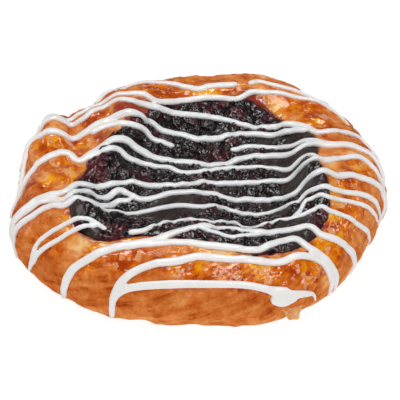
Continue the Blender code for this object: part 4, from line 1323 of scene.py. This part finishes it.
def filling_material():
    """Dark berries, redder in spots, mixed with grey gel of painted sheen where the film is thick.
    """
    made, tree, shader = start_material("cooked_blueberry")
    place = object_place(tree)
    tint, _ = add_grain(tree, place, TINT_COUNT, 2)
    specks, normal = add_grain(tree, place, SPECK_COUNT, 2, SPECK_DEPTH)
    cover = read_value(tree, "film")
    spots = maths(tree, "MULTIPLY", read_value(tree, "red"), RED_SHARE)
    redness = maths(tree, "ADD", spots, plus(tree, tint, read_value(tree, "berry"), BERRY_SHARE))
    berry = mixed(tree, stepped(tree, redness, 0.62, 0.88), BERRY_COLOUR, BERRY_RED)
    gel = mixed(tree, stepped(tree, tint, 0.3, 0.7, 0.0, 0.6), FILM_AND_SHEEN_COLOUR, BERRY_COLOUR)
    gel = mixed(tree, stepped(tree, specks, 0.35, 0.65, 0.0, 0.45), gel, BERRY_COLOUR)
    dull = stepped(tree, cover, 0.2, 0.9, 0.25, 0.4)
    bare = stepped(tree, read_value(tree, "crease"), 0.1, 0.9, BERRY_COAT, 0.1)
    wet = maths(tree, "MULTIPLY", bare, stepped(tree, cover, 0.2, 0.9, 1, FILM_WET))
    set_inputs(tree, shader, {
        "Base Color": mixed(tree, cover, berry, gel),
        "Roughness": plus(tree, dull, centred(tree, specks), 0.25),
        "Specular IOR Level": 0.13,
        "Coat Weight": wet,
        "Coat Roughness": 0.08,
        "Coat IOR": 1.4,
        "Normal": normal,
    })
    return made


cooked = filling_material()
print(cooked.name, "has", len(cooked.node_tree.nodes), "nodes")

# %% [markdown]
# The icing is opaque white sugar with a soft shine. Light goes a little way into it, which keeps
# the thin beads bright along their edges. Over the filling it looks a little cooler.

# %% Icing material
ICING_COLOUR = (0.88, 0.865, 0.845, 1)
ICING_SHADE = (0.80, 0.775, 0.745, 1)
ICING_COOL = (0.79, 0.82, 0.86, 1)      # where the dark filling shows through a little
SUGAR_COUNT = 700           # grains in a metre
SUGAR_DEPTH = 0.08 * MM


def icing_material():
    """White, a little greyer by the grain and cooler over the filling."""
    made, tree, shader = start_material("white_icing")
    grey, normal = add_grain(tree, object_place(tree), SUGAR_COUNT, 2, SUGAR_DEPTH)
    tinted = mixed(tree, stepped(tree, grey, 0.3, 0.7, 0.0, 0.12), ICING_COLOUR, ICING_SHADE)
    cool = stepped(tree, read_value(tree, "over_filling"), 0, 1, 0, 0.45)
    set_inputs(tree, shader, {
        "Base Color": mixed(tree, cool, tinted, ICING_COOL),
        "Roughness": stepped(tree, grey, 0.3, 0.7, 0.36, 0.46),
        "Coat Weight": 0.25,
        "Coat Roughness": 0.2,
        "Subsurface Weight": 0.25,
        "Subsurface Scale": 1.5 * MM,
        "Subsurface Radius": (1.0, 0.95, 0.9),
        "Normal": normal,
    })
    return made


white = icing_material()
print(white.name, "has", len(white.node_tree.nodes), "nodes")

# %% [markdown]
# Now each piece gets its finish and rides on the pastry's one body, and the solid that it stands
# for is hidden. The icing stands for parts of both solids, because there it is fused to the dough
# and to the filling.

# %% Dress the pieces
PIECES = (
    (crust, baked, "crust", ("dough",)),
    (flake, baked, "crust", ("dough",)),
    (filling, cooked, "blueberry", ("filling",)),
)
for piece, look, slot, nodes in PIECES:
    piece.data.materials.append(look)
    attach(piece, "root")
    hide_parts(*nodes)
for piece in icing:
    piece.data.materials.clear()
    piece.data.materials.append(white)
    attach(piece, "root")
    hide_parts("dough", "filling")
print(len(PIECES) + len(icing), "pieces are dressed")

# %% [markdown]
# The studio is a light table: a pale floor that glows a little, so that the pastry stands on
# white with hardly a shadow. In reflections it looks much dimmer than it lights the danish,
# because a white floor mirrored in the glaze would turn the brown crust grey.

# %% Floor
FLOOR_HALF = 3.0
FLOOR_COLOUR = (0.2, 0.2, 0.2, 1)
FLOOR_GLOW = 0.9
FLOOR_SHINE = 0.12          # how bright the floor looks in the glaze
WHITE = (1, 1, 1, 1)


def make_floor():
    """A large square that glows, but only faintly in reflections."""
    points = np.array([(-1, -1, 0), (1, -1, 0), (1, 1, 0), (-1, 1, 0)]) * FLOOR_HALF
    made = mesh_object("floor", points, [np.array([[0, 1, 2, 3]])])
    look, tree, shader = start_material("pale_floor")
    reflected = add_node(tree, "LightPath", {}).outputs["Is Glossy Ray"]
    set_inputs(tree, shader, {
        "Base Color": FLOOR_COLOUR,
        "Roughness": 1.0,
        "Specular IOR Level": 0.0,
        "Emission Color": WHITE,
        "Emission Strength": stepped(tree, reflected, 0, 1, FLOOR_GLOW, FLOOR_SHINE),
    })
    made.data.materials.append(look)
    return made


make_floor()

# %% [markdown]
# Two soft boxes, one above and one in front, light everything. Cards and small sparks are seen in
# reflections alone, like bright cards held so that they glint in the glaze. The world is plain
# and pale, and dimmer in reflections for the same reason as the floor.

# %% Light
WORLD_LIGHT = 0.62          # on matte surfaces
WORLD_SHINE = 0.03          # in reflections

# Each light: its name, its place, its width and depth in metres, and its watts.
BOXES = (
    ("box_above", (-0.05, 0.08, 0.75), 0.32, 0.26, 1.6),
    ("box_front", (0.1, -0.9, 0.5), 0.6, 0.4, 1.2),
)
CARDS = (
    ("card_above", (-0.05, 0.12, 0.74), 0.42, 0.32, 2.4),
    ("card_left", (-0.7, 0.5, 0.18), 0.3, 0.4, 1.0),
    ("spark_left", (-0.35, 0.1, 0.7), 0.1, 0.1, 0.7),
    ("spark_right", (0.4, -0.1, 0.65), 0.1, 0.1, 0.5),
    ("spark_back", (0.1, 0.6, 0.5), 0.1, 0.1, 0.3),
    ("card_front", (0.38, -0.41, 0.63), 0.44, 0.34, 2.4),
    ("card_right", (0.85, 0.2, 0.42), 0.12, 0.24, 0.6),
)


def add_light(name, place, width, depth, watts, only_shine):
    """A rectangular light that looks at the middle of the danish."""
    lamp = bpy.data.lights.new(name, "AREA")
    lamp.shape = "RECTANGLE"
    lamp.size, lamp.size_y = width, depth
    lamp.energy = watts
    made = bpy.data.objects.new(name, lamp)
    bpy.context.scene.collection.objects.link(made)
    made.location = place
    made.rotation_euler = (-made.location).to_track_quat("-Z", "Y").to_euler()
    made.visible_diffuse = not only_shine


def make_world():
    """Plain white: as bright as the picture's ground to the camera, dimmer for the danish."""
    world = bpy.data.worlds.new("studio")
    bpy.context.scene.world = world
    world.use_nodes = True
    sky = world.node_tree
    rays = add_node(sky, "LightPath", {}).outputs
    light = stepped(sky, rays["Is Camera Ray"], 0, 1, WORLD_LIGHT, 1)
    less = stepped(sky, rays["Is Glossy Ray"], 0, 1, 0, WORLD_LIGHT - WORLD_SHINE)
    set_inputs(sky, sky.nodes["Background"],
               {"Color": WHITE, "Strength": maths(sky, "SUBTRACT", light, less)})


for row in BOXES + CARDS:
    add_light(*row, only_shine=row in CARDS)
make_world()
bpy.context.scene.view_settings.view_transform = "Standard"
print(len(BOXES), "soft boxes and", len(CARDS), "cards and sparks")

# %% [markdown]
# The camera looks down at the danish from the front, as in the photo: 37.5 degrees above the
# floor and 0.8 m away. The lens follows from how much of the scene should fill the picture.

# %% Camera
VIEW_ELEVATION = np.radians(37.5)
VIEW_DISTANCE = 0.8
VIEW_TARGET = np.array([0, 0, 9 * MM])
VIEW_WIDTH = 132.3 * MM     # width of the picture at the target
SENSOR = 36                 # mm

lens = bpy.data.cameras.new("camera")
lens.sensor_width = SENSOR
lens.lens = SENSOR * VIEW_DISTANCE / VIEW_WIDTH
camera = bpy.data.objects.new("camera", lens)
bpy.context.scene.collection.objects.link(camera)
back = np.array([0, -np.cos(VIEW_ELEVATION), np.sin(VIEW_ELEVATION)])
camera.location = VIEW_TARGET + back * VIEW_DISTANCE
camera.rotation_euler = (np.pi / 2 - VIEW_ELEVATION, 0, 0)
bpy.context.scene.camera = camera
print("lens:", round(lens.lens, 1), "mm")
